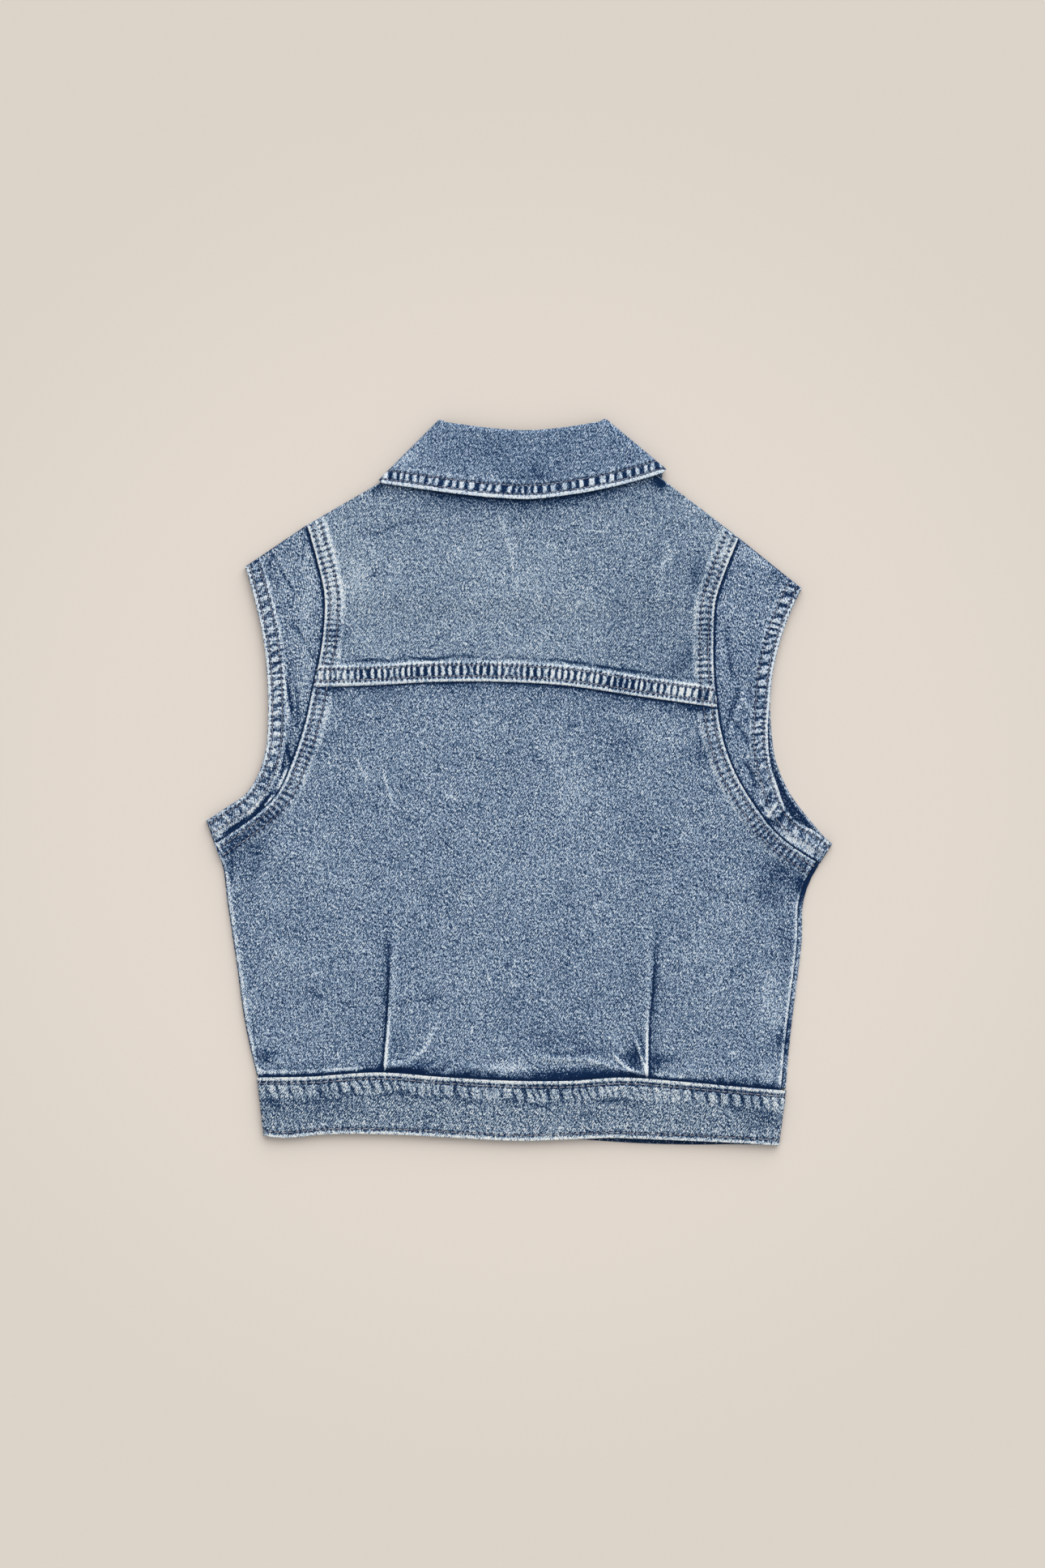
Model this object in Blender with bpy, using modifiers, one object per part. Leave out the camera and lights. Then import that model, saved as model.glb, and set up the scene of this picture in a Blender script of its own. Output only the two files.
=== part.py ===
"""A child's denim gilet laid out flat with its back up, made of the pieces it is sewn from.

The plan is in millimetres from the middle of the laid-out garment: across to the wearer's right,
up towards the collar. Height 0 is the surface that the front pieces rest on. Every piece starts as
a grid placed on its inner face, and a Solidify modifier gives it its cloth, thicker where a felled
seam, a turned hem or a pleat is folded double.
"""

import bmesh
import bpy
import numpy as np

MM = 0.001
# Middle of the finished outline in the plan, which becomes the origin.
MIDDLE = (0.2, 0.45, 0.0)

# Cloth and its folds.
CLOTH = 1.2
BAND_CLOTH = 2.2
COLLAR_CLOTH = 1.8
THICKEST = 4.0
SEAM_GAP = 0.3
ARMHOLE_GAP = 0.5
FELL_RISE = 0.9
ARMHOLE_FELL = 11.0
YOKE_FELL = 12.5
HEM_RISE = 0.8
SLEEVE_HEM_DEPTH = 10.5
PLEAT_RISE = 1.5
PLEAT_DEPTH = 14.0
PLEAT_STEP = 0.6
PLEAT_FADES = (-130.0, -84.0)
RIDGE_SLOPE = 1.5

# Heights of the inner faces: back layer, back waistband, and what lies round the neck.
BACK_REST = 2.2
BAND_REST = 2.6
NECK_BACK = 3.8
NECK_FRONT_LIFT = 2.1
FALL_REST = 5.7
FALL_EDGE_DROP = 0.4
ROLL_RADIUS = 0.4

# How far the folded edges reach past the flat part of a layer.
SIDE_REACH = 1.7
BAND_REACH = 2.4
SHOULDER_WRAP = 10.0
FRONT_EDGE = {"left": 0.0, "right": 2.0}
WAIST_AT_FRONT = -176.0

# The zone that the collar's front ends lift: from across, to across, from up, to up.
COLLAR_ZONE_MIDDLE = 2.0
COLLAR_ZONE_ACROSS = (92.0, 112.0)
COLLAR_ZONE_UP = (95.0, 113.0)

# Broad swells of the back layer: across, up, reach across, reach up, rise.
SWELLS = (
    (5, 108, 62, 30, 0.5),
    (-96, -95, 40, 55, 0.9),
    (102, -102, 36, 55, 1.0),
    (8, -62, 58, 60, 0.7),
    (154, 8, 14, 26, 1.3),
    (-134, 92, 14, 34, 0.6),
)

# Lines of the plan: each spot is across, up.
WAIST_SEAM = (
    (-155.5, -174), (-125, -173.5), (-81, -171), (-48, -173.5), (0, -176),
    (29, -176), (62, -174), (96, -176.4), (134, -179.8), (158.6, -181.7),
)
BACK_HEM = (
    (-151.4, -209), (-142, -210), (-115, -208), (-77, -208), (-38, -210), (0, -212),
    (38, -211.4), (77, -212), (115, -212.6), (154.3, -214.6),
)
FRONT_HEM = (
    (-151.4, -209), (-115, -207), (-77, -207), (-38, -209), (0, -211),
    (38, -211.6), (77, -213.6), (115, -214), (154.3, -214.6),
)
YOKE_SEAM = (
    (-121.9, 57.4), (-86.6, 58.3), (-48, 60.2), (-10, 60.2), (28.6, 57.8), (67, 52.1), (117.2, 44.9),
)
NECK_SEAM = ((-62, 186.5), (-30, 184.5), (2, 184), (36, 185.5), (68, 189.5))
PLEAT_LINE = {
    "left": ((-80.4, -171), (-78, -143), (-76.5, -118), (-76, -88), (-74, -20), (-72, 59)),
    "right": ((76.6, -175), (77, -143), (79, -118), (80, -90), (80, -20), (76, 50)),
}
SIDE_EDGE = {
    "left": ((-155.3, -173.5), (-158.6, -160), (-163, -138.5), (-166.3, -114.5), (-170.2, -88),
             (-173, -69), (-176, -48), (-180.7, -36)),
    "right": ((158.6, -181.7), (160.6, -157.7), (163, -136), (165.8, -114.5), (168.2, -93),
              (169.4, -69), (173.6, -57), (178.8, -48)),
}
BACK_ARMHOLE = {
    "left": ((-179, -35.5), (-168, -28), (-155, -18.5), (-143, -6.5), (-134, 13), (-127.5, 32),
             (-122, 56), (-116, 89), (-115.3, 111), (-120, 133), (-125.2, 151.4)),
    "right": ((177, -47), (168, -41.5), (153.5, -30.5), (140, -13.5), (128.5, 5.5), (120.7, 27),
              (117.4, 46.3), (115.4, 87), (117, 109), (123, 127), (129.8, 143.8)),
}
FRONT_ARMHOLE = {
    "left": ((-179, -35.5), (-160, -26), (-142, -10), (-130, 12), (-122, 40), (-113, 85),
             (-113, 111), (-119, 133), (-125.2, 151.4)),
    "right": ((177, -47), (158, -38), (139, -22), (127, 0), (117, 28), (112, 80),
              (114.5, 109), (122, 127), (129.8, 143.8)),
}
BACK_SLEEVE_HEM = {
    "left": ((-183.8, -21.4), (-173, -14.2), (-162, -6.5), (-154.3, 5.5), (-150, 20), (-148.6, 39),
             (-149, 61), (-151.4, 85), (-156.7, 109), (-161.6, 126.8)),
    "right": ((184.4, -35), (176.4, -29), (165.4, -22.8), (159, -16), (153.4, -2.6), (149, 12.7),
              (147.6, 29.5), (148.6, 46.3), (150.5, 65.5), (154.3, 82.3), (160.6, 100.6), (166.8, 114)),
}
FRONT_SLEEVE_HEM = {
    "left": ((-183.8, -21.4), (-172, -15.5), (-160.5, -8), (-152.8, 4.5), (-148.5, 19), (-147.2, 39),
             (-147.5, 61), (-150, 85), (-155.5, 109), (-161.6, 126.8)),
    "right": ((184.4, -35), (180, -30.5), (175, -24.7), (167.8, -16), (161, -6.5), (155.8, 4), (152, 15),
              (150, 29.5), (149, 46.3), (149.5, 65.5), (153.5, 82.3), (160, 100.6), (166.8, 114)),
}
SHOULDER_END = {"left": (-64.0, 189.0), "right": (70.0, 192.0)}
FRONT_NECK = {
    "left": ((0, 134.5), (-26, 142.5), (-46, 161), (-57, 178)),
    "right": ((2, 134.5), (30, 143), (51, 162), (62.5, 181)),
}
# Where the side seam lies: the share of the folded edge that belongs to the back panel.
BACK_TURN_SHARE = {"left": 0.24, "right": 0.0}
FRONT_TURN_SHARE = {"left": 0.66, "right": 1.0}
SIDE_SEAM_INSET = {"left": 0.0, "right": 1.2}
# Distance from the sleeve's folded underarm edge to its seam on the back.
UNDERARM_SEAM_INSET = {"left": 0.4, "right": 2.8}

FALL_EDGE = (
    (-80.6, 177.2), (-67.4, 175.4), (-38.6, 171.4), (-9.8, 168.6), (5, 168), (28.6, 170.4),
    (57.4, 175.7), (76, 180.6), (85.1, 183.4),
)
FALL_ROLL = ((-45.5, 212), (-19.4, 208.4), (4.6, 206.8), (28.6, 208.8), (50, 212.4))
STAND_ROLL = ((-43, 207.5), (-18, 205.5), (4, 204.4), (27, 206), (47, 208.5))
WING_EDGE = {
    "left": ((-80.6, 177.2), (-79, 165), (-64, 140), (-30, 118)),
    "right": ((85.1, 183.4), (84.6, 170), (70, 142), (34, 118)),
}
WING_ROLL = {
    "left": ((-45.5, 212), (-27, 175), (-3, 151)),
    "right": ((50, 212.4), (30, 175), (5, 151)),
}
STAND_NECK = {
    "left": ((-62, 186.5), (-55.5, 176), (-45, 161), (-25.5, 143.5), (-1, 135.5)),
    "right": ((68, 189.5), (60.5, 178), (50, 162), (29.5, 144), (3, 135.5)),
}
STAND_FRONT_ROLL = {
    "left": ((-43, 207.5), (-30.5, 177), (-5, 148)),
    "right": ((47, 208.5), (33.5, 177), (7, 148)),
}

# Share of the way up each body piece at which the underarm lies.
BACK_UNDERARM = 0.5
FRONT_UNDERARM = 0.4
# Share of the front edge at which the neck starts.
FRONT_NECK_SHARE = 0.78
# Shares of the yoke's top edge at which the neck seam starts and ends.
NECK_SHARES = (0.27, 0.73)
PLEAT_SHARES = (0.25, 0.75)
# Round sizes that turn a length into a share of a piece.
BACK_WIDTH = 330.0
BACK_LENGTH = 230.0
YOKE_WIDTH = 240.0
ZONE_WIDTH = 88.0

DENIM = {"body": (0.16, 0.22, 0.33), "yoke": (0.18, 0.25, 0.36), "sleeve": (0.17, 0.23, 0.34),
         "collar": (0.11, 0.17, 0.28), "band": (0.15, 0.21, 0.31)}
DENIM_ROUGHNESS = 0.9
SMOOTH_ANGLE = np.radians(40)


class Line:
    """A smooth line through a few spots of the plan, read by its share of the way along."""

    def __init__(self, spots, steps=24):
        spots = np.asarray(spots, float)
        way = np.concatenate([[0], np.cumsum(np.linalg.norm(np.diff(spots, axis=0), axis=1))])
        slope = np.gradient(spots, way, axis=0)
        fine = np.concatenate([np.linspace(a, b, steps, endpoint=False) for a, b in zip(way, way[1:])])
        fine = np.append(fine, way[-1])
        first = np.clip(np.searchsorted(way, fine, side="right") - 1, 0, len(way) - 2)
        length = way[first + 1] - way[first]
        t = ((fine - way[first]) / length)[:, None]
        length = length[:, None]
        leaving = (1 + 2 * t) * (1 - t) ** 2 * spots[first] + t * (1 - t) ** 2 * length * slope[first]
        coming = t * t * (3 - 2 * t) * spots[first + 1] + t * t * (t - 1) * length * slope[first + 1]
        self.points = leaving + coming
        steps_long = np.linalg.norm(np.diff(self.points, axis=0), axis=1)
        self.share = np.concatenate([[0], np.cumsum(steps_long)])
        self.length = self.share[-1]
        self.share /= self.length

    def at(self, share):
        return np.stack([np.interp(share, self.share, self.points[:, k]) for k in (0, 1)], axis=-1)

    def share_near(self, spot):
        return self.share[np.argmin(np.linalg.norm(self.points - np.asarray(spot, float), axis=1))]

    def moved(self, distance):
        """This line moved to its left hand by a distance."""
        along = np.gradient(self.points, axis=0)
        along /= np.linalg.norm(along, axis=1)[:, None]
        aside = np.stack([-along[:, 1], along[:, 0]], axis=1)
        return Line((self.points + distance * aside)[::6], steps=6)

    def part(self, start, end):
        return lambda share: self.at(start + (end - start) * np.asarray(share, float))

    def distance(self, plan):
        """Distance of each spot of the plan from this line."""
        points = self.points[::4]
        return np.min(np.linalg.norm(plan[..., None, :] - points, axis=-1), axis=-1)


def joined(*parts):
    """One line from parts given as (share at which it ends, function of a share)."""
    def at(share):
        share = np.asarray(share, float)[..., None]
        start = 0.0
        found = None
        for end, part in parts:
            here = part(np.clip((share[..., 0] - start) / (end - start), 0, 1))
            found = here if found is None else np.where(share > start, here, found)
            start = end
        return found
    return at


def between(first, second):
    first, second = np.asarray(first, float), np.asarray(second, float)
    return lambda share: first + (second - first) * np.asarray(share, float)[..., None]


def patch(bottom, top, left, right):
    """The surface of the plan that four edge lines span, read by its shares across and up."""
    def at(u, v):
        u, v = np.asarray(u, float), np.asarray(v, float)
        a, b = u[..., None], v[..., None]
        up = (1 - b) * bottom(u) + b * top(u)
        across = (1 - a) * left(v) + a * right(v)
        corners = ((1 - a) * (1 - b) * bottom(0.0) + a * (1 - b) * bottom(1.0)
                   + (1 - a) * b * top(0.0) + a * b * top(1.0))
        return up + across - corners
    return at


def smooth(value, start, end):
    t = np.clip((value - start) / (end - start), 0, 1)
    return t * t * (3 - 2 * t)


def collar_zone(plan):
    across = np.abs(plan[..., 0] - COLLAR_ZONE_MIDDLE)
    return smooth(plan[..., 1], *COLLAR_ZONE_UP) * (1 - smooth(across, *COLLAR_ZONE_ACROSS))


def back_level(plan):
    """Height of the back layer's inner face."""
    level = BACK_REST + (NECK_BACK - BACK_REST) * collar_zone(plan)
    for across, up, reach_across, reach_up, rise in SWELLS:
        level = level + rise * np.exp(-((plan[..., 0] - across) / reach_across) ** 2
                                      - ((plan[..., 1] - up) / reach_up) ** 2)
    return level


def front_level(plan, cloth=CLOTH):
    """Height of the front layer's inner face, which is its upper one."""
    return cloth + NECK_FRONT_LIFT * collar_zone(plan)


def ridge(distance, width):
    """1 on a folded strip of this width beside a seam, and 0 off it."""
    return 1 - smooth(distance, width - RIDGE_SLOPE, width)


def raised(plan, level):
    return np.concatenate([plan, level[..., None]], axis=-1)


def turn(plan, outward, upper, lower, share):
    """Inner face of a folded edge: share 0 on the back layer, round the outside, to 1 on the front layer."""
    radius = (upper - lower) / 2
    angle = np.pi * share
    out = plan + (radius * np.sin(angle))[..., None] * outward
    return raised(out, (upper + lower) / 2 + radius * np.cos(angle))


def outward_of(start, end):
    """Unit direction of the plan to the left hand of the way from start to end."""
    along = (end - start) / np.linalg.norm(end - start)
    return np.array([-along[1], along[0]])


def steps(*runs):
    """Shares along a piece from runs of (start, end, count), without repeats."""
    values = np.concatenate([np.linspace(start, end, count + 1) for start, end, count in runs])
    return np.array([value for k, value in enumerate(values) if k == 0 or value > values[k - 1] + 1e-9])


def denim(name):
    material = bpy.data.materials.new("denim_" + name)
    material.use_nodes = True
    shader = material.node_tree.nodes["Principled BSDF"]
    shader.inputs["Base Color"].default_value = (*DENIM[name], 1)
    shader.inputs["Roughness"].default_value = DENIM_ROUGHNESS
    shader.inputs["Metallic"].default_value = 0
    return material


def panel(name, across, up, place, cloth, material, keep=None, flip=False):
    """One cut piece: a grid placed on its inner face, then given its cloth by Solidify."""
    grid = bmesh.new()
    weights = grid.verts.layers.deform.verify()
    bmesh.ops.create_grid(grid, x_segments=len(across) - 1, y_segments=len(up) - 1, size=1)
    cell = {}
    for vert in grid.verts:
        cell[vert] = (round((vert.co.x + 1) / 2 * (len(across) - 1)),
                      round((vert.co.y + 1) / 2 * (len(up) - 1)))
    u = np.array([across[i] for i, _ in cell.values()])
    v = np.array([up[j] for _, j in cell.values()])
    points = place(u, v)
    thick = cloth(u, v, points) / THICKEST
    for vert, point, share in zip(cell, points, thick):
        vert.co = (point - MIDDLE) * MM
        vert[weights][0] = float(share)
    if keep:
        gone = [face for face in grid.faces
                if not keep(np.mean([across[cell[vert][0]] for vert in face.verts]),
                            np.mean([up[cell[vert][1]] for vert in face.verts]))]
        bmesh.ops.delete(grid, geom=gone, context="FACES")
    if flip:
        bmesh.ops.reverse_faces(grid, faces=grid.faces[:])
    mesh = bpy.data.meshes.new(name)
    grid.to_mesh(mesh)
    grid.free()
    mesh.materials.append(material)
    mesh.shade_smooth()
    mesh.set_sharp_from_angle(angle=SMOOTH_ANGLE)
    piece = bpy.data.objects.new(name, mesh)
    piece.vertex_groups.new(name="cloth")
    solidify = piece.modifiers.new("cloth", "SOLIDIFY")
    solidify.thickness = THICKEST * MM
    solidify.offset = 1
    solidify.vertex_group = "cloth"
    solidify.thickness_vertex_group = 0
    bpy.data.collections["gilet"].objects.link(piece)
    return piece


for old in list(bpy.data.objects):
    bpy.data.objects.remove(old)
bpy.context.scene.collection.children.link(bpy.data.collections.new("gilet"))

SIDES = ("left", "right")
HAND = {"left": -1.0, "right": 1.0}
END = {"left": 0.0, "right": 1.0}
waist = Line(WAIST_SEAM)
yoke_seam = Line(YOKE_SEAM)
pleats = {side: Line(PLEAT_LINE[side]) for side in SIDES}
armhole = {side: Line(BACK_ARMHOLE[side]) for side in SIDES}
front_armhole = {side: Line(FRONT_ARMHOLE[side]) for side in SIDES}
# The flat part of the body ends one folded edge inside the side.
side_line = {side: Line(SIDE_EDGE[side]).moved(HAND[side] * SIDE_REACH) for side in SIDES}
yoke_share = {side: armhole[side].share_near(yoke_seam.at(END[side])) for side in SIDES}
shoulder = {side: (armhole[side].at(1.0), np.array(SHOULDER_END[side])) for side in SIDES}


# Back panel: from the waistband to the yoke, with two pleats that open upward.
def back_edge(side):
    return joined((BACK_UNDERARM, side_line[side].at), (1.0, armhole[side].part(0.0, yoke_share[side])))


flat_waist = waist.part(*(waist.share_near(side_line[side].at(0.0)) for side in SIDES))
back_plan = patch(flat_waist, yoke_seam.at, back_edge("left"), back_edge("right"))


def pleat_share(side, v):
    """Share across the back panel at which a pleat line lies."""
    height = back_plan(np.full_like(v, 0.25 if side == "left" else 0.75), v)[..., 1]
    line = pleats[side].points
    across = np.interp(height, line[:, 1], line[:, 0])
    left, right = back_plan(np.zeros_like(v), v)[..., 0], back_plan(np.ones_like(v), v)[..., 0]
    return (across - left) / (right - left)


def back_place(u, v):
    low, high = pleat_share("left", v), pleat_share("right", v)
    share = np.clip(u, 0, 1)
    first, last = PLEAT_SHARES
    across = np.where(share < first, share / first * low,
                      np.where(share < last, low + (share - first) / (last - first) * (high - low),
                               high + (share - last) / (1 - last) * (1 - high)))
    inset = np.where(v <= BACK_UNDERARM, SIDE_SEAM_INSET["right"] + SEAM_GAP, 0) / BACK_WIDTH
    plan = back_plan(across * (1 - inset), v)
    level = back_level(plan)
    folded = turn(plan, np.array([-1.0, 0.0]), level, front_level(plan), np.clip(-u, 0, 1))
    return np.where((u < 0)[..., None], folded, raised(plan, level))


def pleat_rise(plan):
    """Share of a pleat's rise, which starts at its folded edge and fades towards the middle."""
    rise = 0.0
    for side in SIDES:
        line = pleats[side].points
        inward = -HAND[side] * (plan[..., 0] - np.interp(plan[..., 1], line[:, 1], line[:, 0]))
        edge = smooth(inward, -PLEAT_STEP, -PLEAT_STEP / 4) * (1 - smooth(inward, 0, PLEAT_DEPTH))
        rise = rise + edge * (1 - smooth(plan[..., 1], *PLEAT_FADES))
    return rise


def back_cloth(u, v, points):
    plan = points[..., :2]
    seams = np.minimum(armhole["left"].distance(plan), armhole["right"].distance(plan))
    return CLOTH + FELL_RISE * ridge(seams, ARMHOLE_FELL) + PLEAT_RISE * pleat_rise(plan)


BESIDE_PLEAT = PLEAT_SHARES[0] * PLEAT_STEP / ZONE_WIDTH
GAP_UP = SEAM_GAP / 2 / BACK_LENGTH
# Columns are closer on the felled seams beside the armholes and at the folded edges of the pleats.
back_columns = steps(
    (-BACK_TURN_SHARE["left"], 0, 2), (0.0006, 0.0325, 2), (0.0325, 0.04, 1),
    (0.04, 0.25 - BESIDE_PLEAT, 5), (0.25, 0.254, 1), (0.254, 0.30, 2), (0.30, 0.70, 8),
    (0.70, 0.746, 2), (0.75, 0.75 + BESIDE_PLEAT, 1),
    (0.75 + BESIDE_PLEAT, 0.96, 5), (0.96, 0.9675, 1), (0.9675, 0.9994, 2),
)
back_rows = steps((GAP_UP, BACK_UNDERARM, 11), (BACK_UNDERARM, 1 - GAP_UP, 10))
denims = {name: denim(name) for name in DENIM}
panel("back_panel", back_columns, back_rows, back_place, back_cloth, denims["body"],
      keep=lambda u, v: u > 0 or v < BACK_UNDERARM)


# Yoke: from the felled seam up to the neck, folded over both shoulders a little way onto the front.
def inset_shoulder(side):
    """The shoulder line one folded edge inside the outline, from the armhole to the neck."""
    start, end = shoulder[side]
    return start, end + SIDE_REACH * HAND[side] * outward_of(start, end)


def yoke_top():
    left_start, left_end = inset_shoulder("left")
    right_start, right_end = inset_shoulder("right")
    neck = Line((left_end, *NECK_SEAM[1:-1], right_end))
    return joined((NECK_SHARES[0], between(left_start, left_end)), (NECK_SHARES[1], neck.at),
                  (1.0, between(right_end, right_start)))


yoke_plan = patch(yoke_seam.at, yoke_top(), armhole["left"].part(yoke_share["left"], 1.0),
                  armhole["right"].part(yoke_share["right"], 1.0))


def shoulder_out(u):
    """Direction of the plan out of the nearer shoulder."""
    left, right = (outward_of(*shoulder["left"]), -outward_of(*shoulder["right"]))
    return np.where((u < 0.5)[..., None], left, right)


def yoke_place(u, v):
    plan = yoke_plan(u, np.clip(v, 0, 1))
    level = back_level(plan)
    out = shoulder_out(u)
    folded = turn(plan, out, level, front_level(plan), np.clip(v - 1, 0, 1))
    wrapped = plan - out * (np.clip(v - 2, 0, 1) * SHOULDER_WRAP)[..., None]
    wrapped = raised(wrapped, front_level(wrapped))
    found = np.where((v <= 2)[..., None], folded, wrapped)
    return np.where((v <= 1)[..., None], raised(plan, level), found)


def yoke_cloth(u, v, points):
    plan = points[..., :2]
    seams = np.minimum(armhole["left"].distance(plan), armhole["right"].distance(plan))
    folds = np.maximum(ridge(seams, ARMHOLE_FELL), ridge(yoke_seam.distance(plan), YOKE_FELL))
    return CLOTH + FELL_RISE * folds * (v <= 1)


YOKE_GAP = SEAM_GAP / 2 / YOKE_WIDTH
yoke_columns = steps((YOKE_GAP, 0.039, 2), (0.039, 0.046, 1), (0.046, NECK_SHARES[0], 5), (*NECK_SHARES, 10),
                     (NECK_SHARES[1], 0.954, 5), (0.954, 0.961, 1), (0.961, 1 - YOKE_GAP, 2))
yoke_rows = steps((0.0015, 0.096, 2), (0.096, 0.112, 1), (0.112, 1.0, 8), (1.0, 2.0, 5), (2.0, 3.0, 1))
panel("back_yoke", yoke_columns, yoke_rows, yoke_place, yoke_cloth, denims["yoke"],
      keep=lambda u, v: v < 1 or u < NECK_SHARES[0] or u > NECK_SHARES[1])


front_up = steps((0.001, FRONT_UNDERARM, 7), (FRONT_UNDERARM, FRONT_NECK_SHARE, 6),
                 (FRONT_NECK_SHARE, 0.9985, 4))


def front_top_share(side):
    """Share of the front armhole at which the yoke's wrapped edge meets it."""
    out = shoulder_out(np.array(END[side]))
    return front_armhole[side].share_near(shoulder[side][0] - out * SHOULDER_WRAP)


def front_shares(side):
    """Shares of the front armhole at which the front has a row, and the shoulder fold."""
    rows = front_up[front_up >= FRONT_UNDERARM]
    return np.append((rows - FRONT_UNDERARM) / (1 - FRONT_UNDERARM) * front_top_share(side), 1.0)


# Cap sleeves: each a flat tube from its armhole seam to its turned hem, folded at the shoulder and underarm.
def build_sleeve(side):
    back_seam, front_seam = armhole[side], front_armhole[side]
    back_hem, front_hem = Line(BACK_SLEEVE_HEM[side]), Line(FRONT_SLEEVE_HEM[side])
    shoulder_way = -HAND[side] * outward_of(back_hem.at(1.0), back_seam.at(1.0))
    underarm_way = HAND[side] * outward_of(back_hem.at(0.0), back_seam.at(0.0))

    def strip(seam, hem, u, share):
        start, end = seam.at(share), hem.at(share)
        length = np.linalg.norm(end - start, axis=-1)
        return start + (end - start) * ((ARMHOLE_GAP + u * (length - ARMHOLE_GAP)) / length)[..., None]

    def place(u, v):
        v = np.where(v > 4, v - 4, v)
        back = strip(back_seam, back_hem, u, np.clip(v, 0, 1))
        front = strip(front_seam, front_hem, u, 1 - np.clip(v - 2, 0, 1))
        shoulder_fold = turn(back, shoulder_way, back_level(back), front_level(back), np.clip(v - 1, 0, 1))
        underarm_fold = turn(front, underarm_way, back_level(front), front_level(front),
                             1 - np.clip(v - 3, 0, 1))
        found = raised(back, back_level(back))
        for start, shape in ((1, shoulder_fold), (2, raised(front, front_level(front))), (3, underarm_fold)):
            found = np.where((v > start)[..., None], shape, found)
        return found

    def cloth(u, v, points):
        on_back = 1 - smooth(v, 1.0, 1.5) + smooth(v, 3.5, 4.0)
        return CLOTH + HEM_RISE * on_back * ridge(back_hem.distance(points[..., :2]), SLEEVE_HEM_DEPTH)

    body_part = back_rows[back_rows > BACK_UNDERARM]
    body_rows = (body_part - BACK_UNDERARM) / (1 - BACK_UNDERARM) * yoke_share[side]
    yoke_part = yoke_rows[yoke_rows < 1]
    yoke_shares = yoke_share[side] + yoke_part[1:] * (1 - yoke_share[side])
    front_rows = front_shares(side)
    seam_inset = UNDERARM_SEAM_INSET[side] / back_seam.length
    seam_end = 4 + seam_inset - SEAM_GAP / back_seam.length
    fold = np.arange(1, 5) / 4
    around = np.concatenate([[seam_inset], body_rows, yoke_shares, [1.0], 1 + fold,
                             3 - front_rows[::-1][1:], 3 + fold, [seam_end]])
    across = steps((0, 0.60, 2), (0.60, 0.66, 1), (0.66, 1.0, 2))
    panel("sleeve_" + side, across, around, place, cloth, denims["sleeve"], flip=side == "left")


for side in SIDES:
    build_sleeve(side)


# Fronts: flat on the surface, each folded up at its side to the side seam.
def build_front(side):
    hand = HAND[side]
    neck = Line(FRONT_NECK[side])
    foot = np.array([FRONT_EDGE[side], WAIST_AT_FRONT])
    edge = joined((FRONT_NECK_SHARE, between(foot, neck.at(0.0))), (1.0, neck.at))
    top_share = front_top_share(side)
    outer = joined((FRONT_UNDERARM, side_line[side].at), (1.0, front_armhole[side].part(0.0, top_share)))
    middle = waist.share_near(foot)
    corner = waist.share_near(side_line[side].at(0.0))
    top = between(neck.at(1.0), front_armhole[side].at(top_share))
    plan_of = patch(waist.part(middle, corner), top, edge, outer)

    def place(u, v):
        plan = plan_of(np.clip(u, 0, 1), v)
        out = np.array([hand, 0.0])
        folded = turn(plan, out, back_level(plan), front_level(plan), 1 - np.clip(u - 1, 0, 1))
        over = plan - out * (np.clip(u - 2, 0, 1) * SIDE_SEAM_INSET[side])[..., None]
        over = raised(over, back_level(over))
        return np.where((u <= 1)[..., None], raised(plan, front_level(plan)),
                        np.where((u <= 2)[..., None], folded, over))

    def cloth(u, v, points):
        return np.full(u.shape, CLOTH)

    reach = FRONT_TURN_SHARE[side]
    over = ((2.0, 2.75, 1),) if SIDE_SEAM_INSET[side] else ()
    across = steps((0.0, 1.0, 7), (1.0, 1.0 + reach, 4), *over)
    panel("front_" + side, across, front_up, place, cloth, denims["body"],
          keep=lambda u, v: u < 1 or v < FRONT_UNDERARM, flip=side == "right")


for side in SIDES:
    build_front(side)


# Waistband: one doubled strip from the front edge round both sides.
back_hem_line, front_hem_line = Line(BACK_HEM), Line(FRONT_HEM)
BAND_MARGIN = BAND_REACH / waist.length


def band_place(u, v):
    """u runs to 1 on the left front, 2 on its fold, 3 across the back, 4 on a fold, 5 on the right front."""
    middle = {side: waist.share_near((FRONT_EDGE[side], WAIST_AT_FRONT)) for side in SIDES}
    ends = (BAND_MARGIN, 1 - BAND_MARGIN)
    share = np.interp(u, np.arange(6), (middle["left"], ends[0], ends[0], ends[1], ends[1], middle["right"]))

    def across(hem):
        return hem.at(share) + (waist.at(share) - hem.at(share)) * v[..., None]

    back, front = across(back_hem_line), across(front_hem_line)
    upper, lower = np.full(u.shape, BAND_REST), np.full(u.shape, BAND_CLOTH)
    left = turn(front, np.array([-1.0, 0.0]), upper, lower, 1 - np.clip(u - 1, 0, 1))
    right = turn(back, np.array([1.0, 0.0]), upper, lower, np.clip(u - 3, 0, 1))
    found = raised(front, lower)
    for start, shape in ((1, left), (2, raised(back, upper)), (3, right), (4, raised(front, lower))):
        found = np.where((u > start)[..., None], shape, found)
    return found


def band_cloth(u, v, points):
    return np.full(u.shape, BAND_CLOTH)


panel("waistband", steps((0, 1, 9), (1, 2, 4), (2, 3, 22), (3, 4, 4), (4, 5, 9)), steps((0.0, 0.99, 3)),
      band_place, band_cloth, denims["band"])


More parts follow.
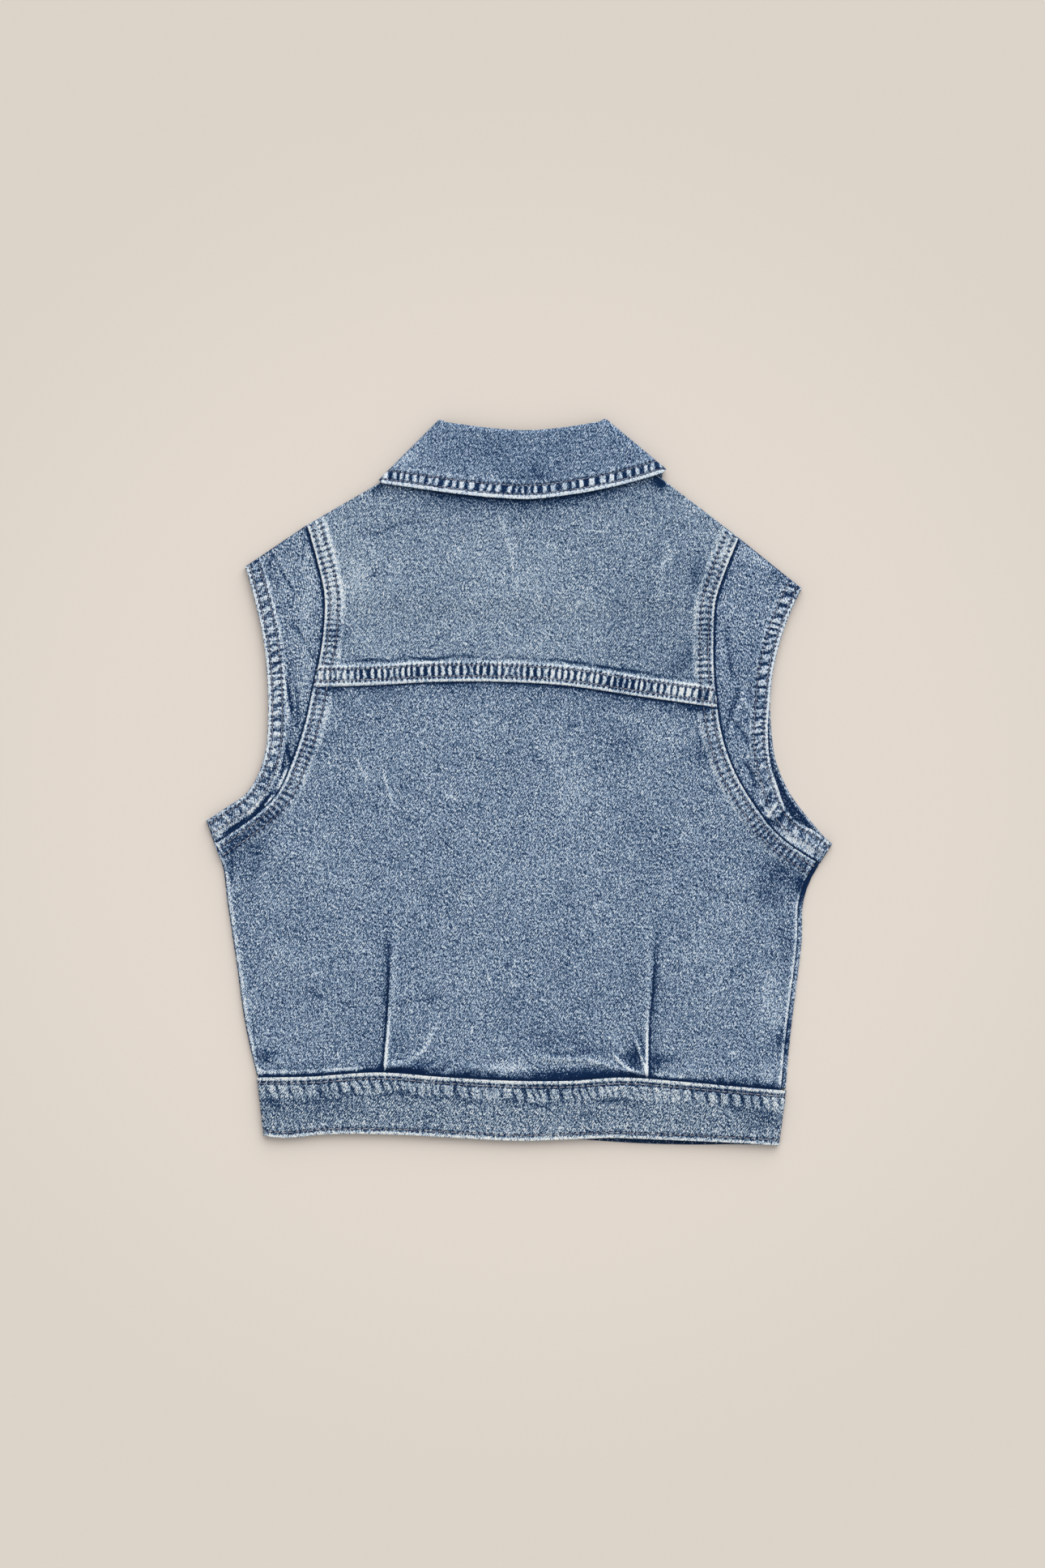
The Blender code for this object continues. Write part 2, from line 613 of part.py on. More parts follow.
# Collar: a stand that rises from the neck seam, and a fall folded over it that also wraps to the front.
def build_collar_ring(name, edge, roll, front_edge, front_roll, upper, lower, edge_drop, depth, rows):
    edge, roll = Line(edge), Line(roll)
    front_edge = {side: Line(front_edge[side]) for side in SIDES}
    front_roll = {side: Line(front_roll[side]) for side in SIDES}
    way = {side: -HAND[side] * outward_of(edge.at(END[side]), roll.at(END[side])) for side in SIDES}

    def strip(first, second, share, v):
        low, high = first.at(share), second.at(share)
        along = (high - low) / np.linalg.norm(high - low, axis=-1, keepdims=True)
        return low + (high - low) * np.clip(v, 0, 1)[..., None], along

    def place(u, v):
        """u as on the waistband; v runs from the edge to the roll at 1, and past it round the roll."""
        bend = np.clip(v - 1, 0, 1) * np.pi / 2
        height_up = upper - edge_drop * (1 - np.clip(v, 0, 1))
        height_low = np.full(u.shape, lower)
        back, back_along = strip(edge, roll, np.clip(u - 2, 0, 1), v)
        wing = {side: strip(front_edge[side], front_roll[side], np.clip(share, 0, 1), v)
                for side, share in (("left", 1 - u), ("right", u - 4))}
        found = raised(back, height_up)
        along, facing = back_along, np.zeros((*u.shape, 3)) + (0, 0, 1)
        for side, way_round, here in (("left", 2 - u, u < 2), ("right", u - 3, u > 3)):
            share = np.clip(way_round, 0, 1)
            folded = turn(back, way[side], height_up, height_low, share)
            angle = np.pi * share
            normal = raised(np.sin(angle)[..., None] * way[side], np.cos(angle))
            found = np.where(here[..., None], folded, found)
            facing = np.where(here[..., None], normal, facing)
        for side, here in (("left", u < 1), ("right", u > 4)):
            plan, wing_along = wing[side]
            found = np.where(here[..., None], raised(plan, height_low), found)
            along = np.where(here[..., None], wing_along, along)
        along = np.concatenate([along, np.zeros((*u.shape, 1))], axis=-1)
        inward = (1 - np.cos(bend))[..., None] * facing
        return found + ROLL_RADIUS * (np.sin(bend)[..., None] * along - inward)

    def cloth(u, v, points):
        return np.full(u.shape, depth)

    around = steps((0, 1, 6), (1, 2, 5), (2, 3, 16), (3, 4, 5), (4, 5, 6))
    panel(name, around, rows, place, cloth, denims["collar"])


build_collar_ring("collar_fall", FALL_EDGE, FALL_ROLL, WING_EDGE, WING_ROLL, FALL_REST, COLLAR_CLOTH,
                  FALL_EDGE_DROP, COLLAR_CLOTH, steps((0, 1, 5), (1, 2, 2)))
build_collar_ring("collar_stand", NECK_SEAM, STAND_ROLL, STAND_NECK, STAND_FRONT_ROLL, NECK_BACK,
                  NECK_FRONT_LIFT + CLOTH, 0.0, CLOTH, steps((0.08, 0.94, 2)))
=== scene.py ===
# %% [markdown]
# # A child's washed denim gilet, laid flat with its back up
# The gilet is sewn from nine cut pieces. Each one is drawn here as a thin shell of cloth that lies on
# its solid, fine enough to hold the puckered seams, the pleats and the creases. Sizes are in
# millimetres on a plan of the laid-out garment: across to the wearer's right, up towards the collar.

import bpy
import numpy as np
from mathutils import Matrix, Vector
from mathutils.bvhtree import BVHTree


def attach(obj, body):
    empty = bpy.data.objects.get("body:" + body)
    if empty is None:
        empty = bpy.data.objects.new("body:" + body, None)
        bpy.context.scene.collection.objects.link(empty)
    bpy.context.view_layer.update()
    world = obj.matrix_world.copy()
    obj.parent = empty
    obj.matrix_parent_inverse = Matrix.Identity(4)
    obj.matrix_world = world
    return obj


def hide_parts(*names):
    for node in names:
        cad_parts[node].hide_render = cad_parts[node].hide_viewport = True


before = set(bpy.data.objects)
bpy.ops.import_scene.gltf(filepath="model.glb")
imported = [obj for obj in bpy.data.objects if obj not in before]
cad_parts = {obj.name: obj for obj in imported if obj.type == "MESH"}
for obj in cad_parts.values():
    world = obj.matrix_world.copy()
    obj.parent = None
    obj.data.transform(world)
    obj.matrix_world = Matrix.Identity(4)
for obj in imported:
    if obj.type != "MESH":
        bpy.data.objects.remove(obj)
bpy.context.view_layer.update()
print("solids:", ", ".join(sorted(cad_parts)))

# %% [markdown]
# ## Lines of the plan
# A cutter draws a garment with smooth lines through a few measured spots. `Line` does the same, and
# can tell how far along it and how far from it any spot of the cloth lies, which places every seam.

# %% Smooth lines
MM = 0.001
# The frame's origin on the plan.
MIDDLE = np.array([0.2, 0.45, 0.0])
SIDES = ("left", "right")
HAND = {"left": -1.0, "right": 1.0}
END = {"left": 0.0, "right": 1.0}
# How many spots are measured at once, and the distance given to those out of reach.
AT_ONCE = 3000
FAR = 1e3


class Line:
    """A smooth line through a few spots of the plan, read by its share of the way along."""

    def __init__(self, spots, steps=36):
        spots = np.asarray(spots, float)
        way = np.concatenate([[0], np.cumsum(np.linalg.norm(np.diff(spots, axis=0), axis=1))])
        slope = np.gradient(spots, way, axis=0)
        fine = np.concatenate([np.linspace(a, b, steps, endpoint=False) for a, b in zip(way, way[1:])])
        fine = np.append(fine, way[-1])
        first = np.clip(np.searchsorted(way, fine, side="right") - 1, 0, len(way) - 2)
        length = way[first + 1] - way[first]
        t = ((fine - way[first]) / length)[:, None]
        length = length[:, None]
        leaving = (1 + 2 * t) * (1 - t) ** 2 * spots[first] + t * (1 - t) ** 2 * length * slope[first]
        coming = t * t * (3 - 2 * t) * spots[first + 1] + t * t * (t - 1) * length * slope[first + 1]
        self.points = leaving + coming
        self.along = np.gradient(self.points, axis=0)
        self.along /= np.linalg.norm(self.along, axis=1)[:, None]
        steps_long = np.linalg.norm(np.diff(self.points, axis=0), axis=1)
        self.share = np.concatenate([[0], np.cumsum(steps_long)])
        self.length = self.share[-1]
        self.share /= self.length

    def at(self, share):
        return np.stack([np.interp(share, self.share, self.points[:, k]) for k in (0, 1)], axis=-1)

    def share_near(self, spot):
        return self.share[np.argmin(np.linalg.norm(self.points - np.asarray(spot, float), axis=1))]

    def moved(self, distance):
        """This line moved to its left hand by a distance."""
        aside = np.stack([-self.along[:, 1], self.along[:, 0]], axis=1)
        return Line((self.points + distance * aside)[::9], steps=9)

    def part(self, start, end):
        return lambda share: self.at(start + (end - start) * np.asarray(share, float))

    def near(self, plan, reach):
        """Way along this line and distance from it of each spot; spots out of reach stay far away."""
        spots = plan.reshape(-1, 2)
        way, away = np.zeros(len(spots)), np.full(len(spots), FAR)
        low, high = self.points.min(axis=0) - reach, self.points.max(axis=0) + reach
        chosen = np.flatnonzero(((spots > low) & (spots < high)).all(axis=1))
        for start in range(0, len(chosen), AT_ONCE):
            these = chosen[start:start + AT_ONCE]
            gap = np.linalg.norm(spots[these, None] - self.points, axis=-1)
            first = gap.argmin(axis=1)
            aside = spots[these] - self.points[first]
            way[these] = self.share[first] * self.length + (aside * self.along[first]).sum(axis=1)
            away[these] = gap[np.arange(len(these)), first]
        return way.reshape(plan.shape[:-1]), away.reshape(plan.shape[:-1])


def joined(*parts):
    """One line from parts given as (share at which it ends, function of a share)."""
    def at(share):
        share = np.asarray(share, float)[..., None]
        start, found = 0.0, None
        for end, part in parts:
            here = part(np.clip((share[..., 0] - start) / (end - start), 0, 1))
            found = here if found is None else np.where(share > start, here, found)
            start = end
        return found
    return at


def between(first, second):
    first, second = np.asarray(first, float), np.asarray(second, float)
    return lambda share: first + (second - first) * np.asarray(share, float)[..., None]


def patch(bottom, top, left, right):
    """The surface of the plan that four edge lines span, read by its shares across and up."""
    def at(u, v):
        a, b = np.asarray(u, float)[..., None], np.asarray(v, float)[..., None]
        up = (1 - b) * bottom(u) + b * top(u)
        across = (1 - a) * left(v) + a * right(v)
        corners = ((1 - a) * (1 - b) * bottom(0.0) + a * (1 - b) * bottom(1.0)
                   + (1 - a) * b * top(0.0) + a * b * top(1.0))
        return up + across - corners
    return at


def smooth(value, start, end):
    t = np.clip((value - start) / (end - start), 0, 1)
    return t * t * (3 - 2 * t)


def outward_of(start, end):
    """Unit direction of the plan to the left hand of the way from start to end."""
    along = (end - start) / np.linalg.norm(end - start)
    return np.array([-along[1], along[0]])


def steps(*runs):
    """Shares along a piece from runs of (start, end, count), without repeats."""
    values = np.concatenate([np.linspace(start, end, count + 1) for start, end, count in runs])
    return np.array([value for k, value in enumerate(values) if k == 0 or value > values[k - 1] + 1e-9])


# %% [markdown]
# ## Shared seams
# Two pieces that are sewn together have one line in common. The lines below were measured on the laid-out
# gilet, and every piece that meets at one of them reads the same line, so no seam gapes.

# %% Seam lines that several pieces share
WAIST_SEAM = (
    (-155.5, -174), (-125, -173.5), (-81, -171), (-48, -173.5), (0, -176),
    (29, -176), (62, -174), (96, -176.4), (134, -179.8), (158.6, -181.7),
)
YOKE_SEAM = (
    (-121.9, 57.4), (-86.6, 58.3), (-48, 60.2), (-10, 60.2), (28.6, 57.8), (67, 52.1), (117.2, 44.9),
)
SIDE_EDGE = {
    "left": ((-155.3, -173.5), (-158.6, -160), (-163, -138.5), (-166.3, -114.5), (-170.2, -88),
             (-173, -69), (-176, -48), (-180.7, -36)),
    "right": ((158.6, -181.7), (160.6, -157.7), (163, -136), (165.8, -114.5), (168.2, -93),
              (169.4, -69), (173.6, -57), (178.8, -48)),
}
BACK_ARMHOLE = {
    "left": ((-179, -35.5), (-168, -28), (-155, -18.5), (-143, -6.5), (-134, 13), (-127.5, 32),
             (-122, 56), (-116, 89), (-115.3, 111), (-120, 133), (-125.2, 151.4)),
    "right": ((177, -47), (168, -41.5), (153.5, -30.5), (140, -13.5), (128.5, 5.5), (120.7, 27),
              (117.4, 46.3), (115.4, 87), (117, 109), (123, 127), (129.8, 143.8)),
}
FRONT_ARMHOLE = {
    "left": ((-179, -35.5), (-160, -26), (-142, -10), (-130, 12), (-122, 40), (-113, 85),
             (-113, 111), (-119, 133), (-125.2, 151.4)),
    "right": ((177, -47), (158, -38), (139, -22), (127, 0), (117, 28), (112, 80),
              (114.5, 109), (122, 127), (129.8, 143.8)),
}
SHOULDER_END = {"left": (-64.0, 189.0), "right": (70.0, 192.0)}
SIDE_REACH = 1.7

waist = Line(WAIST_SEAM)
yoke_seam = Line(YOKE_SEAM)
armhole = {side: Line(BACK_ARMHOLE[side]) for side in SIDES}
front_armhole = {side: Line(FRONT_ARMHOLE[side]) for side in SIDES}
side_line = {side: Line(SIDE_EDGE[side]).moved(HAND[side] * SIDE_REACH) for side in SIDES}
yoke_share = {side: armhole[side].share_near(yoke_seam.at(END[side])) for side in SIDES}
shoulder = {side: (armhole[side].at(1.0), np.array(SHOULDER_END[side])) for side in SIDES}
print("armhole seams:", {side: round(line.length) for side, line in armhole.items()}, "mm")

# %% [markdown]
# ## How the layers lie
# The fronts rest on the table and the back lies on them with a little air. Broad, low swells keep the
# back from looking pressed. A folded edge is half a circle from the upper layer to the lower one.

# %% Heights of the layers
CLOTH = 1.2
BACK_REST = 2.2
NECK_BACK = 3.8
NECK_FRONT_LIFT = 2.1
COLLAR_ZONE_MIDDLE = 2.0
COLLAR_ZONE_ACROSS = (92.0, 112.0)
COLLAR_ZONE_UP = (95.0, 113.0)
# Across, up, reach across, reach up, rise.
SWELLS = (
    (5, 108, 62, 30, 0.5),
    (-96, -95, 40, 55, 0.9),
    (102, -102, 36, 55, 1.0),
    (8, -62, 58, 60, 0.7),
    (154, 8, 14, 26, 1.3),
    (-134, 92, 14, 34, 0.6),
)


def collar_zone(plan):
    across = np.abs(plan[..., 0] - COLLAR_ZONE_MIDDLE)
    return smooth(plan[..., 1], *COLLAR_ZONE_UP) * (1 - smooth(across, *COLLAR_ZONE_ACROSS))


def patched(plan, table):
    """Sum of soft patches of height, or of paleness and darkening, each (across, up, reach across, reach up,
    strength).
    """
    total = np.zeros(plan.shape[:-1])
    for across, up, reach_across, reach_up, strength in table:
        total += strength * np.exp(-((plan[..., 0] - across) / reach_across) ** 2
                                   - ((plan[..., 1] - up) / reach_up) ** 2)
    return total


def back_level(plan):
    """Height of the back layer's inner face."""
    return BACK_REST + (NECK_BACK - BACK_REST) * collar_zone(plan) + patched(plan, SWELLS)


def front_level(plan, cloth=CLOTH):
    """Height of the front layer's inner face, which is its upper one."""
    return cloth + NECK_FRONT_LIFT * collar_zone(plan)


def raised(plan, level):
    return np.concatenate([plan, level[..., None]], axis=-1)


def turn(plan, outward, upper, lower, share):
    """Inner face of a folded edge: share 0 on the back layer, round the outside, to 1 on the front layer."""
    radius = (upper - lower) / 2
    angle = np.pi * share
    out = plan + (radius * np.sin(angle))[..., None] * outward
    return raised(out, (upper + lower) / 2 + radius * np.cos(angle))


# %% [markdown]
# ## Puckered seams
# Thread shrinks less than cloth in the wash, so a felled seam draws up into short bars. Their tops rub
# pale and the hollows between them keep their indigo. `bars` makes an uneven row of them, `felled`
# turns them into the relief, the wear and the painted shade of a seam with two rows of stitches.

# %% Bars, felled bands and creases
def bars(pitch, seed, length, lean=0.15, balance=0.0, swing=0.3, uneven=0.5, sway=0.16):
    """Uneven bars along a seam, 1 on their tops and -1 between them; swing weakens them in places."""
    random = np.random.default_rng(seed)
    spacing = random.uniform(1.05 - uneven, 1.05 + uneven, int(length / pitch * 1.5) + 8)
    peaks = np.cumsum(pitch * spacing) - 3 * pitch
    strength = random.uniform(0.5, 1.0, len(peaks))
    slant = random.normal(lean, sway, len(peaks))

    def at(along, across):
        moved = along - across * np.interp(along, peaks, slant)
        first = np.clip(np.searchsorted(peaks, moved) - 1, 0, len(peaks) - 2)
        t = np.clip((moved - peaks[first]) / (peaks[first + 1] - peaks[first]), 0, 1)
        slow = 1.3 * (drift(along, 3.5 * pitch, seed + 5) - 0.5)
        wave = np.clip(1.8 * np.cos(2 * np.pi * t) + balance + slow, -1, 1)
        wave = wave * (strength[first] + (strength[first + 1] - strength[first]) * smooth(t, 0, 1))
        return wave * (1 - swing * drift(along, 22, seed))

    return at


def drift(along, pitch, seed):
    """A slow uneven change along a seam, from 0 to 1."""
    knots = np.random.default_rng(seed).uniform(0, 1, 400)
    return np.interp(along / pitch + 20, np.arange(400), knots)


def hump(value, low, high, power=0.7):
    return np.sin(np.pi * np.clip((value - low) / (high - low), 0, 1)) ** power


def line_of(value, centre, width):
    return np.exp(-((value - centre) / width) ** 2)


def ticked(along, stitch, seed):
    """Dips where the thread goes into the cloth, one a stitch, from 0 to 1."""
    uneven = 0.8 * drift(along, 7, seed + 3)
    return np.clip(1.5 * np.cos(2 * np.pi * (along / stitch + uneven)), 0, 1)


# Widths on a felled band: its sunk rows, the cloth beside them, rubbed pale between stitch dips darkened with
# painted shade, its pale outer strip.
SUNK_ROW, WORN_AND_SHADED_BESIDE, OUTER_STRIP = 0.55, 1.5, 4.8


def felled(along, across, rows, width, wave_of, seed, stitch, base=0.1, bar=2.0, rim=0.9, edge_fade=1.5,
           tick=0.9, tail_fade=0.5):
    """Rise, wear and painted shade of a felled band, from its edge at across = 0 to its soft outer strip."""
    first, last = rows
    wave = wave_of(along, across - (first + last) / 2)
    change = drift(along, 14, seed)
    middle = smooth(across, first + 0.1, first + 0.9) * (1 - smooth(across, last - 0.9, last - 0.1))
    tail = hump(across, last + 0.4, min(width, last + OUTER_STRIP), 1.1)
    edge = smooth(across, 0.1, 0.6) * (1 - smooth(across, first - rim - 0.4, first - rim + 0.3))
    # The sunk rows and the dips where the thread goes in are darkened with painted shade, together with the
    # unfaded indigo in them.
    sewn = line_of(across, first, SUNK_ROW) + line_of(across, last, SUNK_ROW)
    beside = line_of(across, first, WORN_AND_SHADED_BESIDE) + line_of(across, last, WORN_AND_SHADED_BESIDE)
    rise = (0.34 * wave - 0.05) * middle + (0.16 * wave + 0.1) * tail + 0.16 * edge - 0.3 * sewn
    wear_and_shade = middle * (base + bar * np.clip(wave, 0, 1) - 1.2 * bar * np.clip(-wave, 0, 1))
    wear_and_shade = wear_and_shade + edge * (edge_fade + 0.5 * wave * change) + tail * (tail_fade * (0.5 + change) + 0.3 * wave)
    wear_and_shade = wear_and_shade - 0.9 * sewn + tick * (0.4 - 1.6 * ticked(along, stitch, seed)) * beside
    inside = across < width
    return np.where(inside, rise, 0), np.where(inside, wear_and_shade, 0)


def creased(plan, table):
    """Rise, paleness and painted shade of listed creases, each (spots of the plan, half width, rise,
    paleness, which below 0 is painted shade).
    """
    rise, wear_and_shade = np.zeros(plan.shape[:-1]), np.zeros(plan.shape[:-1])
    for spots, width, height, pale in table:
        line = Line(spots, steps=12)
        along, away = line.near(plan, reach=3 * width)
        share = along / line.length
        taper = smooth(share, -0.05, 0.12) * (1 - smooth(share, 0.7, 1.02))
        rise += height * line_of(away, 0, width) * taper
        # A ridge is made paler; a trough is darkened with painted shade.
        wear_and_shade += pale * line_of(away, 0, 0.7 * width) * taper
    return rise, wear_and_shade


# %% [markdown]
# ## The denim
# Washed denim is a steep twill of blue and white yarn. One node group draws it for every piece: fine
# diagonal ribs, long grains along them, clouds and streaks of uneven dye, and small folds painted with
# light and shade. The piece's own attribute of wear and painted shade, made with the seams, folds and
# creases, bleaches it where it is worn, brings the indigo back, and darkens it with painted shade where
# shade would fall.

# %% Node helpers
def srgb(red, green, blue):
    """Linear colour of three numbers read from a screen."""
    value = np.array([red, green, blue]) / 255
    return (*np.where(value < 0.04045, value / 12.92, ((value + 0.055) / 1.055) ** 2.4), 1.0)


def node(tree, kind, *values, **settings):
    """A node whose inputs take the given sockets or constants in order; its first output comes back."""
    made = tree.nodes.new(kind)
    for name, value in settings.items():
        setattr(made, name, value)
    sockets = [socket for socket in made.inputs if socket.enabled]
    for socket, value in zip(sockets, values):
        if isinstance(value, bpy.types.NodeSocket):
            tree.links.new(value, socket)
        elif value is not None:
            socket.default_value = value
    return next(socket for socket in made.outputs if socket.enabled)


def calc(tree, operation, *values):
    return node(tree, "ShaderNodeMath", *values, operation=operation)


def vector(tree, operation, *values):
    return node(tree, "ShaderNodeVectorMath", *values, operation=operation)


def rotated(tree, place, angle):
    return node(tree, "ShaderNodeVectorRotate", place, (0, 0, 0), angle, rotation_type="Z_AXIS")


def ranged(tree, value, *bounds):
    """A value carried from the range of the first two bounds to the range of the last two."""
    return node(tree, "ShaderNodeMapRange", value, *bounds)


def noise(tree, place, stretch, detail, seed):
    """Noise of 0 to 1 whose grains are this many millimetres long in each direction."""
    shifted = vector(tree, "ADD", place, (seed * 7.3, seed * 3.1, seed))
    scaled = vector(tree, "MULTIPLY", shifted, tuple(1 / s for s in stretch))
    made = tree.nodes.new("ShaderNodeTexNoise")
    tree.links.new(scaled, made.inputs["Vector"])
    made.inputs["Scale"].default_value = 1.0
    made.inputs["Detail"].default_value = detail
    made.inputs["Roughness"].default_value = 0.55
    return made.outputs["Fac"]


def ramped(tree, value, marks):
    """Colour of a value on a ramp of marks, each (share, screen colour)."""
    ramp = tree.nodes.new("ShaderNodeValToRGB")
    tree.links.new(value, ramp.inputs[0])
    elements = ramp.color_ramp.elements
    while len(elements) < len(marks):
        elements.new(0.5)
    for element, (share, colour) in zip(elements, marks):
        element.position = share
        element.color = srgb(*colour)
    return ramp.outputs["Color"]


def bumped(tree, shader, height, strength, distance):
    bump = tree.nodes.new("ShaderNodeBump")
    bump.inputs["Strength"].default_value = strength
    bump.inputs["Distance"].default_value = distance
    tree.links.new(height, bump.inputs["Height"])
    tree.links.new(bump.outputs["Normal"], shader.inputs["Normal"])


def new_material(name):
    """A material with its node tree and its shader."""
    material = bpy.data.materials.new(name)
    material.use_nodes = True
    return material, material.node_tree, material.node_tree.nodes["Principled BSDF"]


# %% Ribs, crinkles and uneven dye
IN_MM = (1000, 1000, 1000)
TWILL_ANGLE = 57
TWILL_PERIOD = 1.08
# Direction in degrees, length, width and weight of the yarn's grains.
GRAINS = ((57, 1.4, 0.8, 1.4), (57, 0.9, 0.5, 1.8), (115, 2.2, 1.0, 0.85), (140, 3.8, 1.3, 0.5))
# Reach across, reach up, detail and weight of the clouds and streaks of dye.
CLOUDS = ((10.0, 5.0, 3, 0.36), (34.0, 40.0, 1, 0.2), (1.4, 15.0, 1, 0.3))
RIB_WEIGHT = 0.16


def twill_ribs(tree, cloth, flat):
    parts = tree.nodes.new("ShaderNodeSeparateXYZ")
    tree.links.new(rotated(tree, flat, -np.radians(TWILL_ANGLE)), parts.inputs[0])
    wobble = calc(tree, "MULTIPLY", noise(tree, cloth, (3.0, 3.0, 3.0), 1.0, 1), 0.8)
    phase = calc(tree, "MULTIPLY", calc(tree, "ADD", parts.outputs["Y"], wobble), 2 * np.pi / TWILL_PERIOD)
    return calc(tree, "SINE", phase)


def crinkles(tree, cloth, millimetres):
    """Thin pale scratches, and small folds painted as a lit pale crest beside a shaded dark trough, here and
    there.
    """
    warp = noise(tree, millimetres, (26.0, 26.0, 26.0), 2.0, 9)
    aside = node(tree, "ShaderNodeCombineXYZ", calc(tree, "MULTIPLY", warp, 26.0), 0.0, 0.0)
    bent = noise(tree, vector(tree, "ADD", cloth, aside), (19.0, 31.0, 20.0), 1.0, 4)
    thin = ranged(tree, calc(tree, "ABSOLUTE", calc(tree, "SUBTRACT", bent, 0.5)), 0.0, 0.010, 1.0, 0.0)
    some = ranged(tree, noise(tree, cloth, (17.0, 17.0, 17.0), 1.0, 6), 0.5, 0.62, 0.0, 1.0)
    wrinkle = calc(tree, "SUBTRACT", noise(tree, cloth, (26.0, 9.0, 20.0), 2.0, 11), 0.5)
    crest, trough = [ranged(tree, calc(tree, "ABSOLUTE", calc(tree, beside, wrinkle, 0.014)),
                            0.0, 0.016, 1.0, 0.0) for beside in ("SUBTRACT", "ADD")]
    here = ranged(tree, noise(tree, cloth, (22.0, 16.0, 17.0), 1.0, 13), 0.5, 0.62, 0.0, 1.0)
    # The fold's crest is a painted highlight and its trough painted shade; the thin scratches are wear.
    fold = calc(tree, "SUBTRACT", calc(tree, "MULTIPLY", crest, 0.6), trough)
    return calc(tree, "ADD", calc(tree, "MULTIPLY", thin, some), calc(tree, "MULTIPLY", fold, here))


def uneven_dye(tree, cloth, flat, ribs):
    layers = [(noise(tree, rotated(tree, flat, -np.radians(degrees)), (length, width, 1.0), 0, seed), weight)
              for seed, (degrees, length, width, weight) in enumerate(GRAINS, 20)]
    layers += [(noise(tree, cloth, (across, up, 10.0), detail, seed), weight)
               for seed, (across, up, detail, weight) in enumerate(CLOUDS, 5)]
    total = calc(tree, "MULTIPLY", ribs, RIB_WEIGHT)
    for layer, weight in layers:
        share = calc(tree, "MULTIPLY", calc(tree, "SUBTRACT", layer, 0.5), weight)
        total = calc(tree, "ADD", total, share)
    return total


# %% The denim's node group
CRINKLE_WEIGHT = 0.27
WEAR_AND_SHADE_WEIGHT = 0.42
ROUGHNESS = (0.95, 0.82)
# What years of washing leave of white light.
AGED = (1.0, 0.94, 0.84, 1.0)
# Name, least, start, most of the group's numbers.
DENIM_INPUTS = (("Turn", -7, 0, 7), ("Shift", -1000, 0, 1000), ("Tone", 0, 0.5, 1), ("Contrast", 0, 1, 3),
                ("Age", 0, 0, 1), ("Fade", -2, 0, 2))
# Share of the ramp and the colour there, from unworn indigo to bare white cotton; its dark end also gives the
# painted shade.
DENIM_RAMP = (
    (0.0, (14, 39, 75)), (0.2, (43, 70, 104)), (0.42, (96, 118, 146)), (0.6, (138, 159, 184)),
    (0.8, (177, 198, 221)), (1.0, (230, 236, 240)),
)


def denim_group():
    group = bpy.data.node_groups.new("washed_denim", "ShaderNodeTree")
    group.interface.new_socket("Place", in_out="INPUT", socket_type="NodeSocketVector")
    for name, least, start, most in DENIM_INPUTS:
        socket = group.interface.new_socket(name, in_out="INPUT", socket_type="NodeSocketFloat")
        socket.min_value, socket.default_value, socket.max_value = least, start, most
    for name, kind in (("Color", "Color"), ("Height", "Float"), ("Roughness", "Float")):
        group.interface.new_socket(name, in_out="OUTPUT", socket_type="NodeSocket" + kind)
    given = group.nodes.new("NodeGroupInput").outputs
    millimetres = vector(group, "MULTIPLY", given["Place"], IN_MM)
    shift = node(group, "ShaderNodeCombineXYZ", given["Shift"], given["Shift"], 0.0)
    cloth = vector(group, "ADD", rotated(group, millimetres, given["Turn"]), shift)
    flat = vector(group, "MULTIPLY", cloth, (1, 1, 0))

    ribs = twill_ribs(group, cloth, flat)
    crinkle = calc(group, "MULTIPLY", crinkles(group, cloth, millimetres), CRINKLE_WEIGHT)
    dye = calc(group, "MULTIPLY", uneven_dye(group, cloth, flat, ribs), given["Contrast"])
    total = calc(group, "ADD", dye, crinkle)
    # Wear and painted shade from the piece's attribute move the cloth along the ramp.
    worn_and_shaded = calc(group, "MULTIPLY", given["Fade"], WEAR_AND_SHADE_WEIGHT)
    toned = calc(group, "ADD", calc(group, "ADD", total, given["Tone"]), worn_and_shaded)
    colour = node(group, "ShaderNodeMix", given["Age"], ramped(group, toned, DENIM_RAMP), AGED,
                  data_type="RGBA", blend_type="MULTIPLY")
    height = calc(group, "ADD", calc(group, "MULTIPLY", ribs, 0.25), calc(group, "MULTIPLY", total, 1.2))
    rough = ranged(group, toned, 0.0, 1.0, *ROUGHNESS)
    out = group.nodes.new("NodeGroupOutput").inputs
    for name, value in (("Color", colour), ("Height", height), ("Roughness", rough)):
        group.links.new(value, out[name])
    return group


washed_denim = denim_group()
print("denim group:", len(washed_denim.nodes), "nodes")

# %% A denim for each piece
# Name, turn of the cloth's grain in degrees, shift of its pattern, tone, contrast, age.
DENIMS = {
    "body": (0, 0, 0.45, 0.82, 0.25),
    "yoke": (0, 211, 0.513, 0.71, 0.45),
    "sleeve_left": (-42, 97, 0.455, 0.92, 0.25),
    "sleeve_right": (-12, 341, 0.432, 0.9, 0.1),
    "band": (2, 57, 0.45, 0.95, 0.6),
    "collar": (3, 163, 0.408, 0.7, 0.05),
}
TWILL_BUMP = 0.5
TWILL_DEPTH = 0.00012
DENIM_SHINE = 0.08
DENIM_SHEEN = 0.03


